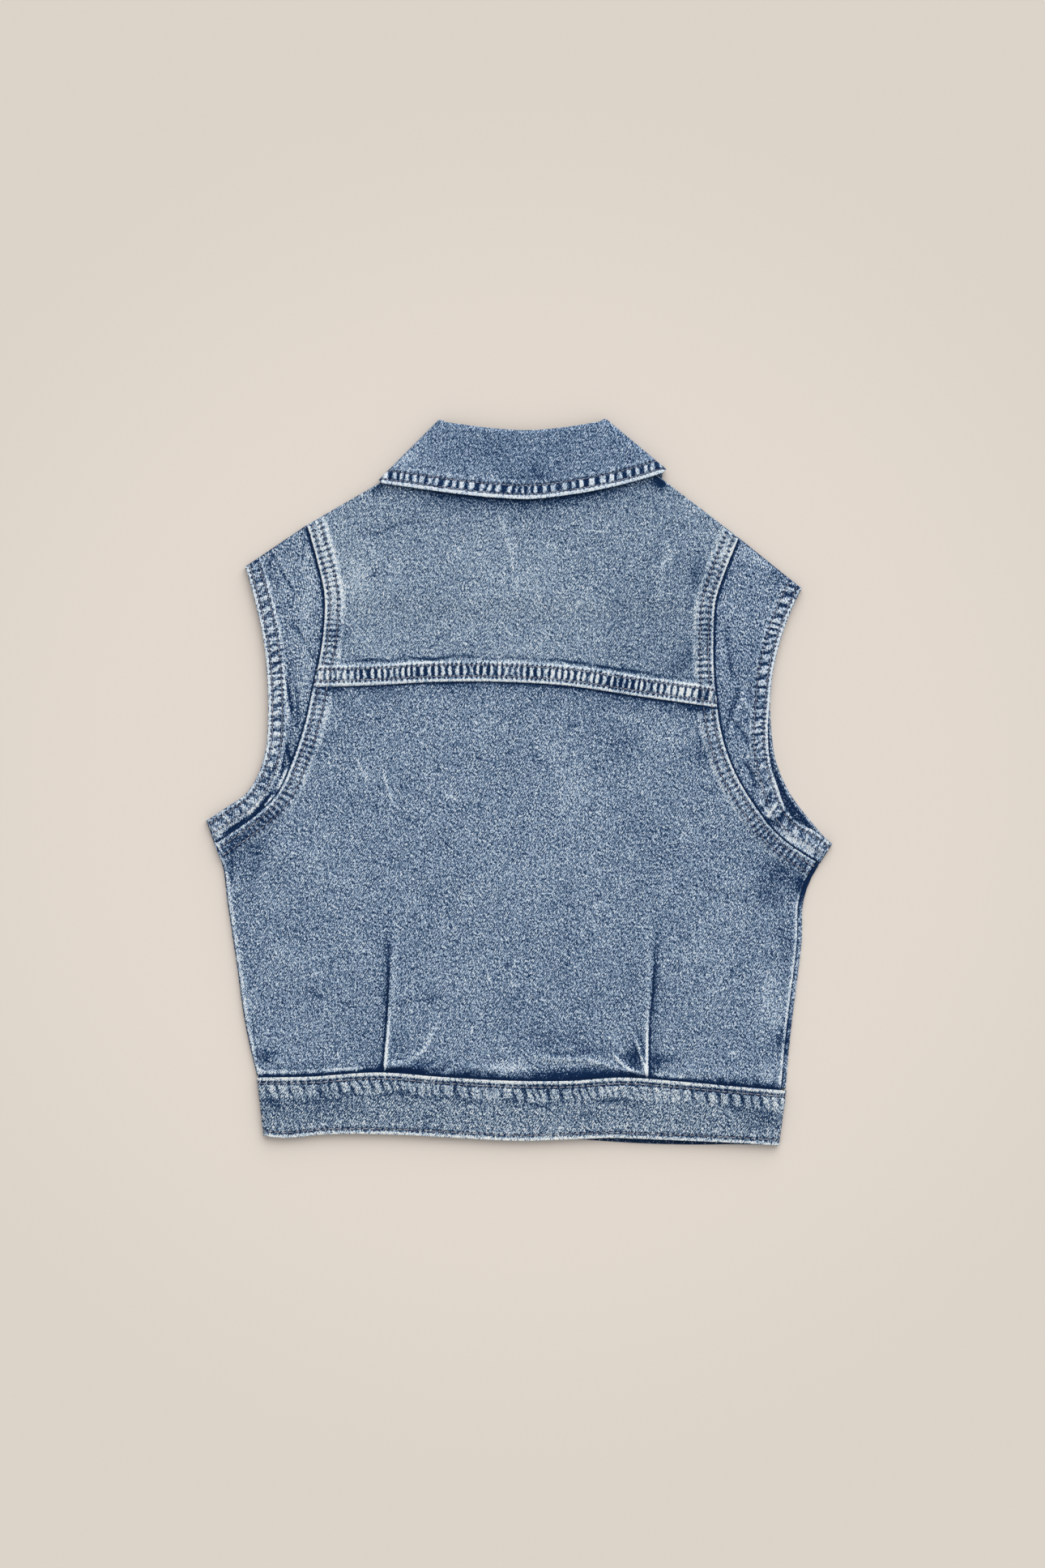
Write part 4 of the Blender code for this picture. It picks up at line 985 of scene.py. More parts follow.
def yoke_looks(u, v, points):
    plan = points[..., :2]
    upper = v <= 1.2
    rise, wear_and_shade = creased(plan, YOKE_CREASES)
    for side in SIDES:
        along, across = armhole[side].near(plan, reach=ARMHOLE_BAND)
        bleach, bar = SHOULDER_WEAR[side]
        bleach = bleach * smooth(along / armhole[side].length, 0.7, 0.85)
        band_rise, band_wear_and_shade = armhole_band(side, along, across, base=0.45 + 0.3 * bleach, bar=bar, tick=1.5,
                                            edge_fade=1.5 + 0.4 * bleach, tail_fade=0.7 + 0.15 * bleach)
        rise, wear_and_shade = rise + band_rise, wear_and_shade * (across > ARMHOLE_FELL) + band_wear_and_shade
    along, across = yoke_seam.near(plan, reach=22)
    deep = np.interp(plan[..., 0], *zip(*YOKE_GAPS))
    band_rise, band_wear_and_shade = felled(along, across, YOKE_ROWS, YOKE_FELL, yoke_bars, 32, YOKE_STITCH,
                                  base=0.5 - 0.9 * deep, bar=1.25 + 1.4 * deep, rim=1.5, edge_fade=1.2,
                                  tick=1.6, tail_fade=0.95)
    on_band = across < YOKE_FELL
    rise = np.where(on_band, band_rise, rise)
    wear_and_shade = np.where(on_band, band_wear_and_shade, wear_and_shade)
    # A painted shadow line lies just past the band, where the doubled cloth ends.
    crest = YOKE_FELL + 0.6 + 2.5 * drift(along, 12, 34)
    wear_and_shade = wear_and_shade - 1.4 * line_of(across, crest, 0.9) * (0.1 + drift(along, 17, 33))
    # Painted shadow of the collar on the yoke, weaker towards the collar's ends.
    under_collar = fall_edge.near(plan, reach=30)[1]
    beside = 1 - 0.6 * smooth(np.abs(plan[..., 0] - COLLAR_ZONE_MIDDLE), *COLLAR_SHADOW_ENDS)
    wear_and_shade = wear_and_shade - beside * (1.4 * np.exp(-under_collar / 3.2) + 0.35 * np.exp(-under_collar / 10.0))
    wear_and_shade = wear_and_shade + patched(plan, YOKE_PATCHES)
    return np.where(upper, rise, 0), np.where(upper, wear_and_shade, -0.1)


YOKE_GAP = SEAM_GAP / 2 / YOKE_WIDTH
yoke_columns = steps((YOKE_GAP, 0.056, 20), (0.056, 0.944, 380), (0.944, 1 - YOKE_GAP, 20))
yoke_rows = steps((0.0015, 0.13, 26), (0.13, 1.0, 136), (1.0, 2.0, 8), (2.0, 3.0, 2))
shell("back_yoke", yoke_columns, yoke_rows, yoke_place, yoke_cloth, yoke_looks, "yoke",
      keep=lambda u, v: (v < 1) | (u < NECK_SHARES[0]) | (u > NECK_SHARES[1]), lined=False)

# %% [markdown]
# ## Cap sleeves
# A cap sleeve is a flat tube: back half, fold at the shoulder, front half, fold and seam at the
# underarm. Its hem is turned and sewn with two rows, so it puckers like the seams.

# %% The sleeves
BACK_SLEEVE_HEM = {
    "left": ((-183.8, -21.4), (-173, -14.2), (-162, -6.5), (-154.3, 5.5), (-150, 20), (-148.6, 39),
             (-149, 61), (-151.4, 85), (-156.7, 109), (-161.6, 126.8)),
    "right": ((184.4, -35), (176.4, -29), (165.4, -22.8), (159, -16), (153.4, -2.6), (149, 12.7),
              (147.6, 29.5), (148.6, 46.3), (150.5, 65.5), (154.3, 82.3), (160.6, 100.6), (166.8, 114)),
}
FRONT_SLEEVE_HEM = {
    "left": ((-183.8, -21.4), (-172, -15.5), (-160.5, -8), (-152.8, 4.5), (-148.5, 19), (-147.2, 39),
             (-147.5, 61), (-150, 85), (-155.5, 109), (-161.6, 126.8)),
    "right": ((184.4, -35), (180, -30.5), (175, -24.7), (167.8, -16), (161, -6.5), (155.8, 4), (152, 15),
              (150, 29.5), (149, 46.3), (149.5, 65.5), (153.5, 82.3), (160, 100.6), (166.8, 114)),
}
UNDERARM_SEAM_INSET = {"left": 0.4, "right": 2.8}
ARMHOLE_GAP = 0.5
HEM_RISE = 0.8
SLEEVE_HEM_DEPTH = 10.5
HEM_ROWS = (2.7, 8.3)
HEM_STITCH = 3.0
# Paleness and bars of the hem band, paleness of its inner strip, painted shade beside the armhole seam.
SLEEVE_WEAR_AND_SHADE = {"left": (0.4, 1.1, 1.2, 1.0), "right": (0.1, 1.4, 0.5, 0.1)}
HEM_SEED = {"left": 41, "right": 42}
# Heights between which the hem band goes over into the crumpled underarm.
UNDERARM_CRUMPLE = (12.0, 30.0)
# Spots of the plan, half width, rise, paleness, which below 0 is painted shade.
SLEEVE_CREASES = {
    "left": (
        (((-148.5, 139), (-140, 125), (-131.5, 110)), 0.9, -0.6, -1.1),
        (((-146.5, 139), (-138.5, 126), (-130.5, 112)), 1.2, 0.4, 0.5),
        (((-136, 99), (-128, 86), (-120.5, 71)), 0.9, -0.5, -1.1),
        (((-141.5, 66), (-138.5, 55), (-137, 42), (-137.5, 30)), 1.3, 0.5, 1.2),
        (((-139, 64), (-136, 52), (-133.5, 38)), 1.6, -0.6, -1.3),
        (((-132, 58), (-131, 46), (-132.5, 30)), 1.6, -0.5, -0.8),
        (((-138.5, 24), (-136.5, 17), (-134.5, 10)), 1.5, -0.5, -1.4),
        (((-148, 4), (-145.5, 8), (-143, 12.5)), 1.4, -0.5, -1.5),
        (((-143, -4), (-139.5, 3.5), (-136.5, 10)), 1.5, 0.6, 1.8),
        (((-151, -14), (-147, -9.5), (-143, -6)), 1.5, 0.5, 1.6),
        (((-176, -31), (-164, -22.5), (-153, -13), (-145, -3)), 1.5, -0.6, -1.6),
        (((-161, -19), (-155, -12), (-150, -4)), 1.3, 0.5, 1.4),
        (((-157, -19.5), (-151.5, -12.5), (-147, -5)), 1.2, -0.5, -1.3),
        (((-140.5, 27), (-139.5, 14), (-142, 0)), 1.2, -0.5, -1.2),
        (((-147, 12), (-146, 5), (-149, -2)), 1.2, 0.4, 1.2),
    ),
    "right": (
        (((122, 96), (124.5, 74), (127, 58)), 3, -0.6, -0.4),
        (((126, 38), (132, 30), (138, 20)), 2, -0.6, -0.7),
        (((133, 52), (138, 40), (140, 26)), 2, 0.5, 0.4),
        (((134, 12), (139, 4), (141, -6)), 2, -0.5, -0.7),
        (((147, -21), (150, -16), (154, -11)), 1.4, 0.5, 1.5),
        (((143, -16), (147, -12), (150, -5)), 1.5, -0.5, -1.3),
        (((152, -24), (157, -18), (160, -13)), 1.3, -0.4, -1.2),
        (((180.2, -31.9), (177, -38.5), (174.5, -44.9)), 1, -0.4, -1.4),
        (((121, 28), (127, 44), (132, 62)), 2.2, -0.5, -0.5),
        (((124, 28), (130, 44), (136, 66)), 2.2, 0.4, 0.4),
        (((142, -10), (146, -15), (150, -20)), 1.3, 0.5, 1.1),
        (((146, -20), (151, -24), (157, -27)), 1.2, -0.5, -1.2),
    ),
}
# Across, up, reach across, reach up, and how much a patch pales the cloth (above 0) or darkens it (below 0).
SLEEVE_PATCHES = {
    "left": (
        (-138, 45, 4, 24, -0.2), (-146, 2, 8, 10, -0.2), (-136, 110, 12, 22, 0.1),
        (-181, -22, 5, 4, -0.4), (-131, 52, 4, 9, 0.3), (-146, 24, 6, 8, 0.3),
        (-154, 125, 7, 8, -0.6), (-144, 80, 5, 16, -0.3), (-127, 78, 5, 18, 0.35),
        (-170, -14, 10, 5, -0.3), (-155, -16, 8, 5, 0.45), (-135, 66, 5, 6, -0.4),
        (-148, -2, 6, 6, -0.3), (-177, -29, 4, 5, 0.8), (-124, 122, 4, 20, 0.3),
    ),
    "right": (
        (155, 124, 6, 5, -0.4), (134, 50, 10, 22, -0.15), (162, -21, 4, 4, -0.6),
        (130, 105, 10, 24, 0.08), (151, -2, 4, 6, 0.5), (174, -40, 8, 5, 0.9),
        (132, 139, 6, 6, 0.35), (166, 112, 5, 6, -0.9), (144, 132, 7, 6, 0.5),
        (141, 50, 4, 10, -0.3), (122, 84, 4, 14, 0.3), (134, 32, 5, 8, 0.25), (161, -34, 6, 6, 1.2),
        (158, -2, 4, 6, 1), (149, -28, 6, 5, 0.5), (163, -21, 5, 4, -0.5),
    ),
}


def build_sleeve(side):
    back_seam, front_seam = armhole[side], front_armhole[side]
    back_hem, front_hem = Line(BACK_SLEEVE_HEM[side]), Line(FRONT_SLEEVE_HEM[side])
    shoulder_way = -HAND[side] * outward_of(back_hem.at(1.0), back_seam.at(1.0))
    underarm_way = HAND[side] * outward_of(back_hem.at(0.0), back_seam.at(0.0))
    hem_bars = bars(5.0, HEM_SEED[side], 190, lean=-0.3 * HAND[side], balance=0.15)

    def strip(seam, hem, u, share):
        start, end = seam.at(share), hem.at(share)
        length = np.linalg.norm(end - start, axis=-1)
        return start + (end - start) * ((ARMHOLE_GAP + u * (length - ARMHOLE_GAP)) / length)[..., None]

    def place(u, v):
        v = np.where(v > 4, v - 4, v)
        back = strip(back_seam, back_hem, u, np.clip(v, 0, 1))
        front = strip(front_seam, front_hem, u, 1 - np.clip(v - 2, 0, 1))
        shoulder_fold = turn(back, shoulder_way, back_level(back), front_level(back), np.clip(v - 1, 0, 1))
        underarm_fold = turn(front, underarm_way, back_level(front), front_level(front),
                             1 - np.clip(v - 3, 0, 1))
        found = raised(back, back_level(back))
        for start, shape in ((1, shoulder_fold), (2, raised(front, front_level(front))), (3, underarm_fold)):
            found = np.where((v > start)[..., None], shape, found)
        return found

    def on_back(v):
        return 1 - smooth(v, 1.0, 1.5) + smooth(v, 3.5, 4.0)

    def cloth(u, v, points):
        away = back_hem.near(points[..., :2], reach=20)[1]
        turned = 1 - smooth(away, SLEEVE_HEM_DEPTH - FELL_SLOPE, SLEEVE_HEM_DEPTH)
        return CLOTH + HEM_RISE * on_back(v) * turned

    def looks(u, v, points):
        plan = points[..., :2]
        rise, wear_and_shade = creased(plan, SLEEVE_CREASES[side])
        along, away = back_seam.near(plan, reach=16)
        base, bar, inner, shade = SLEEVE_WEAR_AND_SHADE[side]
        deep = (1 - smooth(along / back_seam.length, 0.2, 0.42)) * shade
        # Painted shade where the sleeve runs under the armhole band, deepest towards the underarm.
        wear_and_shade = wear_and_shade - 2.2 * line_of(away, 0.2, 0.75) - (0.15 + 0.45 * deep) * np.exp(-away / 2.6)
        along, across = back_hem.near(plan, reach=16)
        band_rise, band_wear_and_shade = felled(along, across, HEM_ROWS, SLEEVE_HEM_DEPTH + 1, hem_bars, 43, HEM_STITCH,
                                      base=base, bar=bar, tick=1.3, tail_fade=inner)
        on_band = across < SLEEVE_HEM_DEPTH + 1
        rise = np.where(on_band, 0.5 * rise, rise) + band_rise
        low = 1 - smooth(plan[..., 1], *UNDERARM_CRUMPLE)
        wear_and_shade = np.where(on_band, (0.4 + 0.8 * low) * wear_and_shade, 1.5 * wear_and_shade) + (1 - 0.4 * low) * band_wear_and_shade
        wear_and_shade = wear_and_shade + patched(plan, SLEEVE_PATCHES[side])
        # The front half, seen only past the back's hem, is darkened with painted shade.
        along, across = front_hem.near(plan, reach=16)
        under = (1.9 * line_of(across, 0.7, 0.7) * (1 - 0.6 * ticked(along, HEM_STITCH, 44)) - 1.0
                 - 0.6 * line_of(across, HEM_ROWS[0], 0.8)
                 + 0.5 * hem_bars(along, across) * hump(across, *HEM_ROWS))
        back_share = np.clip(on_back(v), 0, 1)
        return rise * back_share, wear_and_shade * back_share + under * (1 - back_share)

    seam_inset = UNDERARM_SEAM_INSET[side] / back_seam.length
    seam_end = 4 + seam_inset - SEAM_GAP / back_seam.length
    around = steps((seam_inset, 1.0, 310), (1.0, 2.0, 8), (2.0, 3.0, 100), (3.0, 4.0, 8), (4.0, seam_end, 3))
    across = steps((-0.025, 0.55, 19), (0.55, 1.0, 26))
    shell("sleeve_" + side, across, around, place, cloth, looks, "sleeve_" + side, flip=side == "left")


for side in SIDES:
    build_sleeve(side)

# %% [markdown]
# ## Fronts
# The fronts lie under the back and are plain. Only the right one shows, as a narrow strip past the side
# seam with a slightly puckered edge darkened with painted shade, a frayed notch near the waist and painted
# shadow under the sleeve.

# %% The fronts
FRONT_EDGE = {"left": 0.0, "right": 2.0}
FRONT_NECK = {
    "left": ((0, 134.5), (-26, 142.5), (-46, 161), (-57, 178)),
    "right": ((2, 134.5), (30, 143), (51, 162), (62.5, 181)),
}
FRONT_TURN_SHARE = {"left": 0.66, "right": 1.0}
FRONT_UNDERARM = 0.4
FRONT_NECK_SHARE = 0.78
WAIST_AT_FRONT = -176.0
FRONT_LENGTH = 340.0
# How far the strip that shows lies below the back panel.
TUCK = 0.8
# Height and reach of the frayed notch and of the shadow under the sleeve, and where the strip pales.
NOTCH, SLEEVE_SHADOW = (-149, 9), (-58, 11)
STRIP_PALES = (-140, -130)
side_bars = bars(6.0, 51, 200)
notch_bars = bars(3.2, 52, 400, balance=0.3)


def front_top_share(side):
    """Share of the front armhole at which the yoke's wrapped edge meets it."""
    out = shoulder_out(np.array(END[side]))
    return front_armhole[side].share_near(shoulder[side][0] - out * SHOULDER_WRAP)


def build_front(side):
    hand = HAND[side]
    neck = Line(FRONT_NECK[side])
    foot = np.array([FRONT_EDGE[side], WAIST_AT_FRONT])
    edge = joined((FRONT_NECK_SHARE, between(foot, neck.at(0.0))), (1.0, neck.at))
    top_share = front_top_share(side)
    outer = joined((FRONT_UNDERARM, side_line[side].at), (1.0, front_armhole[side].part(0.0, top_share)))
    middle, corner = waist.share_near(foot), waist.share_near(side_line[side].at(0.0))
    top = between(neck.at(1.0), front_armhole[side].at(top_share))
    plan_of = patch(waist.part(middle, corner), top, edge, outer)
    inset = SIDE_SEAM_INSET if side == "right" else 0.0

    def place(u, v):
        plan = plan_of(np.clip(u, 0, 1), v)
        out = np.array([hand, 0.0])
        upper = back_level(plan) - (TUCK if inset else 0)
        folded = turn(plan, out, upper, front_level(plan), 1 - np.clip(u - 1, 0, 1))
        over = plan - out * (np.clip(u - 2, 0, 2) * inset)[..., None]
        over = raised(over, back_level(over) - TUCK)
        return np.where((u <= 1)[..., None], raised(plan, front_level(plan)),
                        np.where((u <= 2)[..., None], folded, over))

    def cloth(u, v, points):
        return np.full(u.shape, CLOTH)

    def looks(u, v, points):
        wave = side_bars(v * FRONT_LENGTH, u * 0)
        folded = smooth(u, 1.0, 1.3)
        seam = smooth(u, 2.2, 2.8) if inset else smooth(u, 1.45, 1.62)
        up = points[..., 1]
        frayed = line_of(up, *NOTCH) * np.clip(notch_bars(up + 200, u * 0), 0, 1) if inset else 0
        # The cloth that runs in under the back is darkened with painted shade, and so is the strip under the
        # sleeve.
        wear_and_shade = folded * (0.25 * wave - 0.1 + 0.2 * smooth(up, *STRIP_PALES) - 4.0 * frayed) - 0.8 * seam
        wear_and_shade = wear_and_shade - (3.2 * folded * line_of(up, *SLEEVE_SHADOW) if inset else 0)
        return 0.1 * wave * folded, wear_and_shade

    strip = [(2.0, 3.6, 5)] if inset else []
    across = steps((0.0, 1.0, 40), (1.0, 1.0 + FRONT_TURN_SHARE[side], 10), *strip)
    up = steps((0.001, FRONT_UNDERARM, 70), (FRONT_UNDERARM, FRONT_NECK_SHARE, 30),
               (FRONT_NECK_SHARE, 0.9985, 16))
    shell("front_" + side, across, up, place, cloth, looks, "body",
          keep=lambda u, v: (u < 1) | (v < FRONT_UNDERARM), flip=side == "right")


for side in SIDES:
    build_front(side)

# %% [markdown]
# ## Waistband
# The band is a doubled strip round the whole hem. Under its top row of stitches it draws up into wide
# leaning bars, its middle is mottled with a dark line, and its folded hem is rubbed white.

# %% The waistband
BACK_HEM = (
    (-151.4, -209), (-142, -210), (-115, -208), (-77, -208), (-38, -210), (0, -211.8),
    (36, -210.7), (56, -210.1), (74, -210.7), (101, -211.8), (130, -213.1), (154.3, -214.6),
)
FRONT_HEM = (
    (-151.4, -209), (-115, -207), (-77, -207), (-38, -209), (0, -211),
    (36, -211.3), (56, -212.6), (74, -213.6), (101, -214.3), (130, -214.2), (154.3, -214.6),
)
BAND_CLOTH = 2.2
BAND_REST = 2.6
BAND_REACH = 2.4
BAND_TOP_ROW = 3.9
BAND_HEM_ROW = 3.2
BAND_STITCH = 4.0
BAND_HEM_DIPS = 3.0
# Across, up, reach across, reach up, and how much a patch pales the cloth (above 0) or darkens it (below 0).
BAND_PATCHES = (
    (-115, -189, 28, 9, -0.35), (146, -198.5, 8, 6, -0.7), (134, -191, 8, 7, -0.4),
    (-140, -180, 10, 6, 0.5), (-96, -181, 8, 5, 0.3), (-144, -191, 6, 5, -0.35),
    (-53, -175, 7, 4, 0.7), (-8, -178, 8, 4, 0.6), (22, -182, 13, 5, -0.35),
    (118, -181, 14, 4, -0.55), (153, -189, 5, 6, 0.5), (43, -196, 8, 5, -0.3),
    (-34, -184, 8, 5, -0.25),
    (0, -209, 50, 2, 0.4), (67, -189, 8, 6, -0.25), (-104, -180, 14, 5, 0.2),
)
back_hem_line, front_hem_line = Line(BACK_HEM), Line(FRONT_HEM)
BAND_MARGIN = BAND_REACH / waist.length
band_bars = bars(5.6, 61, 330, lean=0.3, balance=0.7, swing=0.4)
band_hem_bars = bars(6.5, 62, 330, lean=0.2)


def band_place(u, v):
    """u runs to 1 on the left front, 2 on its fold, 3 across the back, 4 on a fold, 5 on the right front."""
    middle = {side: waist.share_near((FRONT_EDGE[side], WAIST_AT_FRONT)) for side in SIDES}
    ends = (BAND_MARGIN, 1 - BAND_MARGIN)
    share = np.interp(u, np.arange(6), (middle["left"], ends[0], ends[0], ends[1], ends[1], middle["right"]))

    def across(hem):
        return hem.at(share) + (waist.at(share) - hem.at(share)) * v[..., None]

    back, front = across(back_hem_line), across(front_hem_line)
    upper, lower = np.full(u.shape, BAND_REST), np.full(u.shape, BAND_CLOTH)
    left = turn(front, np.array([-1.0, 0.0]), upper, lower, 1 - np.clip(u - 1, 0, 1))
    right = turn(back, np.array([1.0, 0.0]), upper, lower, np.clip(u - 3, 0, 1))
    found = raised(front, lower)
    for start, shape in ((1, left), (2, raised(back, upper)), (3, right), (4, raised(front, lower))):
        found = np.where((u > start)[..., None], shape, found)
    return found


def band_cloth(u, v, points):
    return np.full(u.shape, BAND_CLOTH)


def band_looks(u, v, points):
    plan = points[..., :2]
    upper = smooth(u, 1.2, 1.8) * (1 - smooth(u, 3.2, 3.8))
    along, down = waist.near(plan, reach=50)
    edge = smooth(down, 0.1, 0.7) * (1 - smooth(down, BAND_TOP_ROW - 2.2, BAND_TOP_ROW - 1.5))
    wave = band_bars(along, down - 8)
    under = smooth(down, BAND_TOP_ROW + 0.9, BAND_TOP_ROW + 1.8) * (1 - smooth(down, 10.0, 15.0))
    gaps = under * (1 - smooth(down, 9.0, 14.5))
    sewn = line_of(down, BAND_TOP_ROW - 0.7, 0.5) + line_of(down, BAND_TOP_ROW + 0.7, 0.5)
    rise = 0.16 * edge - 0.35 * sewn + 0.45 * wave * under
    stitch = ticked(along, BAND_STITCH, 65)
    # Beside the rows the band is darkened with painted shade and unfaded indigo, deepest at each stitch.
    wear_and_shade = (1.6 - 1.1 * stitch * (0.3 + drift(along, 19, 67))) * edge - (0.5 + 2.0 * stitch) * sewn
    wear_and_shade = wear_and_shade + under * (0.05 + 0.4 * drift(along, 13, 68) + 0.4 * np.clip(wave, 0, 1))
    wear_and_shade = wear_and_shade - 2.2 * gaps * np.clip(-wave, 0, 1)
    crest = 11.5 + 3.5 * drift(along, 17, 64)
    wear_and_shade = wear_and_shade - 0.8 * line_of(down, crest, 1.5) * smooth(drift(along, 9, 63), 0.1, 0.9)
    along, above = back_hem_line.near(plan, reach=50)
    wave = band_hem_bars(along, above - 3)
    sewn = line_of(above, BAND_HEM_ROW, 0.8)
    edge = 1 - smooth(above, BAND_HEM_ROW - 2.0, BAND_HEM_ROW - 1.2)
    near_hem = hump(above, BAND_HEM_ROW, BAND_HEM_ROW + 6)
    rise = rise - 0.3 * sewn + 0.2 * wave * near_hem
    wear_and_shade = wear_and_shade - (0.5 + 1.9 * ticked(along, BAND_HEM_DIPS, 66)) * sewn + (1.1 + 0.4 * wave) * edge
    wear_and_shade = wear_and_shade + near_hem * (0.35 * wave + 0.15)
    wear_and_shade = wear_and_shade + patched(plan, BAND_PATCHES)
    # The front layer and the folds, seen only past the back's edges, are darkened with painted shade.
    return rise * upper, wear_and_shade * upper - 1.3 * (1 - upper)


band_around = steps((0, 1, 36), (1, 2, 8), (2, 3, 380), (3, 4, 8), (4, 5, 36))
band_up = steps((0.0, 0.16, 14), (0.16, 0.6, 18), (0.6, 0.99, 28))
shell("waistband", band_around, band_up, band_place, band_cloth, band_looks, "band")

# %% [markdown]
# ## Collar
# The collar's fall is folded over its stand, so its upper edge is a soft roll. Its free edge has two rows
# of stitches with white bars and deep indigo gaps between them, and a rubbed white rim.

# %% The collar's shape
FALL_ROLL = ((-45.5, 212), (-19.4, 208.4), (4.6, 206.8), (28.6, 208.8), (50, 212.4))
STAND_ROLL = ((-43, 207.5), (-18, 205.5), (4, 204.4), (27, 206), (47, 208.5))
WING_EDGE = {
    "left": ((-80.6, 177.2), (-79, 165), (-64, 140), (-30, 118)),
    "right": ((85.1, 183.4), (84.6, 170), (70, 142), (34, 118)),
}
WING_ROLL = {
    "left": ((-45.5, 212), (-27, 175), (-3, 151)),
    "right": ((50, 212.4), (30, 175), (5, 151)),
}
STAND_NECK = {
    "left": ((-62, 186.5), (-55.5, 176), (-45, 161), (-25.5, 143.5), (-1, 135.5)),
    "right": ((68, 189.5), (60.5, 178), (50, 162), (29.5, 144), (3, 135.5)),
}
STAND_FRONT_ROLL = {
    "left": ((-43, 207.5), (-30.5, 177), (-5, 148)),
    "right": ((47, 208.5), (33.5, 177), (7, 148)),
}
COLLAR_CLOTH = 1.8
FALL_REST = 5.7
FALL_EDGE_DROP = 0.4
ROLL_RADIUS = 0.4
COLLAR_ROWS = (2.9, 8.1)
COLLAR_STITCH = 2.6
COLLAR_BAND = 12.0
collar_bars = bars(4.9, 71, 190, lean=0.15, balance=0.1)


def collar_ring(name, edge, roll, front_edge, front_roll, upper, lower, edge_drop, depth, rows, around,
                looks):
    """A strip of the collar from one wing's end over the back of the neck to the other's."""
    edge, roll = Line(edge), Line(roll)
    front_edge = {side: Line(front_edge[side]) for side in SIDES}
    front_roll = {side: Line(front_roll[side]) for side in SIDES}
    way = {side: -HAND[side] * outward_of(edge.at(END[side]), roll.at(END[side])) for side in SIDES}

    def strip(first, second, share, v):
        low, high = first.at(share), second.at(share)
        along = (high - low) / np.linalg.norm(high - low, axis=-1, keepdims=True)
        return low + (high - low) * np.clip(v, 0, 1)[..., None], along

    def place(u, v):
        """u as on the waistband; v runs from the edge to the roll at 1, and past it round the roll."""
        bend = np.clip(v - 1, 0, 1) * np.pi / 2
        height_up = upper - edge_drop * (1 - np.clip(v, 0, 1))
        height_low = np.full(u.shape, lower)
        back, back_along = strip(edge, roll, np.clip(u - 2, 0, 1), v)
        wing = {side: strip(front_edge[side], front_roll[side], np.clip(share, 0, 1), v)
                for side, share in (("left", 1 - u), ("right", u - 4))}
        found = raised(back, height_up)
        along, facing = back_along, np.zeros((*u.shape, 3)) + (0, 0, 1)
        for side, way_round, here in (("left", 2 - u, u < 2), ("right", u - 3, u > 3)):
            share = np.clip(way_round, 0, 1)
            folded = turn(back, way[side], height_up, height_low, share)
            angle = np.pi * share
            normal = raised(np.sin(angle)[..., None] * way[side], np.cos(angle))
            found = np.where(here[..., None], folded, found)
            facing = np.where(here[..., None], normal, facing)
        for side, here in (("left", u < 1), ("right", u > 4)):
            plan, wing_along = wing[side]
            found = np.where(here[..., None], raised(plan, height_low), found)
            along = np.where(here[..., None], wing_along, along)
        along = np.concatenate([along, np.zeros((*u.shape, 1))], axis=-1)
        inward = (1 - np.cos(bend))[..., None] * facing
        return found + ROLL_RADIUS * (np.sin(bend)[..., None] * along - inward)

    shell(name, around, rows, place, lambda u, v, points: np.full(u.shape, depth), looks, "collar")


# %% The collar's looks
# Spots of the plan, half width, rise, paleness, which below 0 is painted shade.
FALL_CREASES = (
    (((-6, 196), (0, 188), (9, 181)), 3, 0.35, 0.1),
    (((14, 183), (19, 179), (22, 176)), 1.5, 0.3, -0.3),
    (((4, 184), (8, 180), (10, 176.5)), 1.5, 0.3, 0.35),
    (((-52, 196), (-44, 186), (-40, 181)), 3, 0.3, 0.12),
    (((40, 200), (36, 190), (38, 184)), 3, 0.3, -0.1),
)
# Across, up, reach across, reach up, and how much a patch pales the cloth (above 0) or darkens it (below 0).
FALL_PATCHES = (
    (12, 180, 22, 4.5, -0.3), (-14, 196, 10, 7, -0.12), (-69, 193, 9, 8, 0.55),
    (-24, 186, 10, 5, 0.15), (9, 185, 5, 6, -0.25),
    (-73, 180, 6, 4, -0.5), (66, 182, 9, 5, -0.4),
)


def fall_looks(u, v, points):
    plan = points[..., :2]
    upper = smooth(u, 1.3, 1.9) * (1 - smooth(u, 3.1, 3.7))
    rise, wear_and_shade = creased(plan, FALL_CREASES)
    wear_and_shade = wear_and_shade + patched(plan, FALL_PATCHES)
    along, across = fall_edge.near(plan, reach=20)
    band_rise, band_wear_and_shade = felled(along, across, COLLAR_ROWS, COLLAR_BAND, collar_bars, 72, COLLAR_STITCH,
                                  rim=0.6, tick=0.6, tail_fade=0.3)
    rolled = smooth(v, 0.97, 1.3)
    return (rise + band_rise) * upper, (wear_and_shade + band_wear_and_shade) * upper + 0.12 * rolled - 0.25 * (1 - upper)


def stand_looks(u, v, points):
    return np.zeros(u.shape), np.full(u.shape, -0.2)


collar_ring("collar_fall", FALL_EDGE, FALL_ROLL, WING_EDGE, WING_ROLL, FALL_REST, COLLAR_CLOTH,
            FALL_EDGE_DROP, COLLAR_CLOTH, steps((0, 0.30, 24), (0.30, 1, 26), (1, 2, 8)),
            steps((0, 1, 24), (1, 2, 10), (2, 3, 200), (3, 4, 10), (4, 5, 24)), fall_looks)
collar_ring("collar_stand", NECK_SEAM, STAND_ROLL, STAND_NECK, STAND_FRONT_ROLL, NECK_BACK,
            NECK_FRONT_LIFT + CLOTH, 0.0, CLOTH, steps((0.08, 0.94, 8)),
            steps((0, 1, 20), (1, 2, 8), (2, 3, 60), (3, 4, 8), (4, 5, 20)), stand_looks)

# %% [markdown]
# ## Stitches
# Each row is a line of the plan moved in from its seam and dropped onto the cloth. A Geometry Nodes tree
# puts one thread, a thin rounded rod, at every stitch length along the rows and joins them to one mesh.

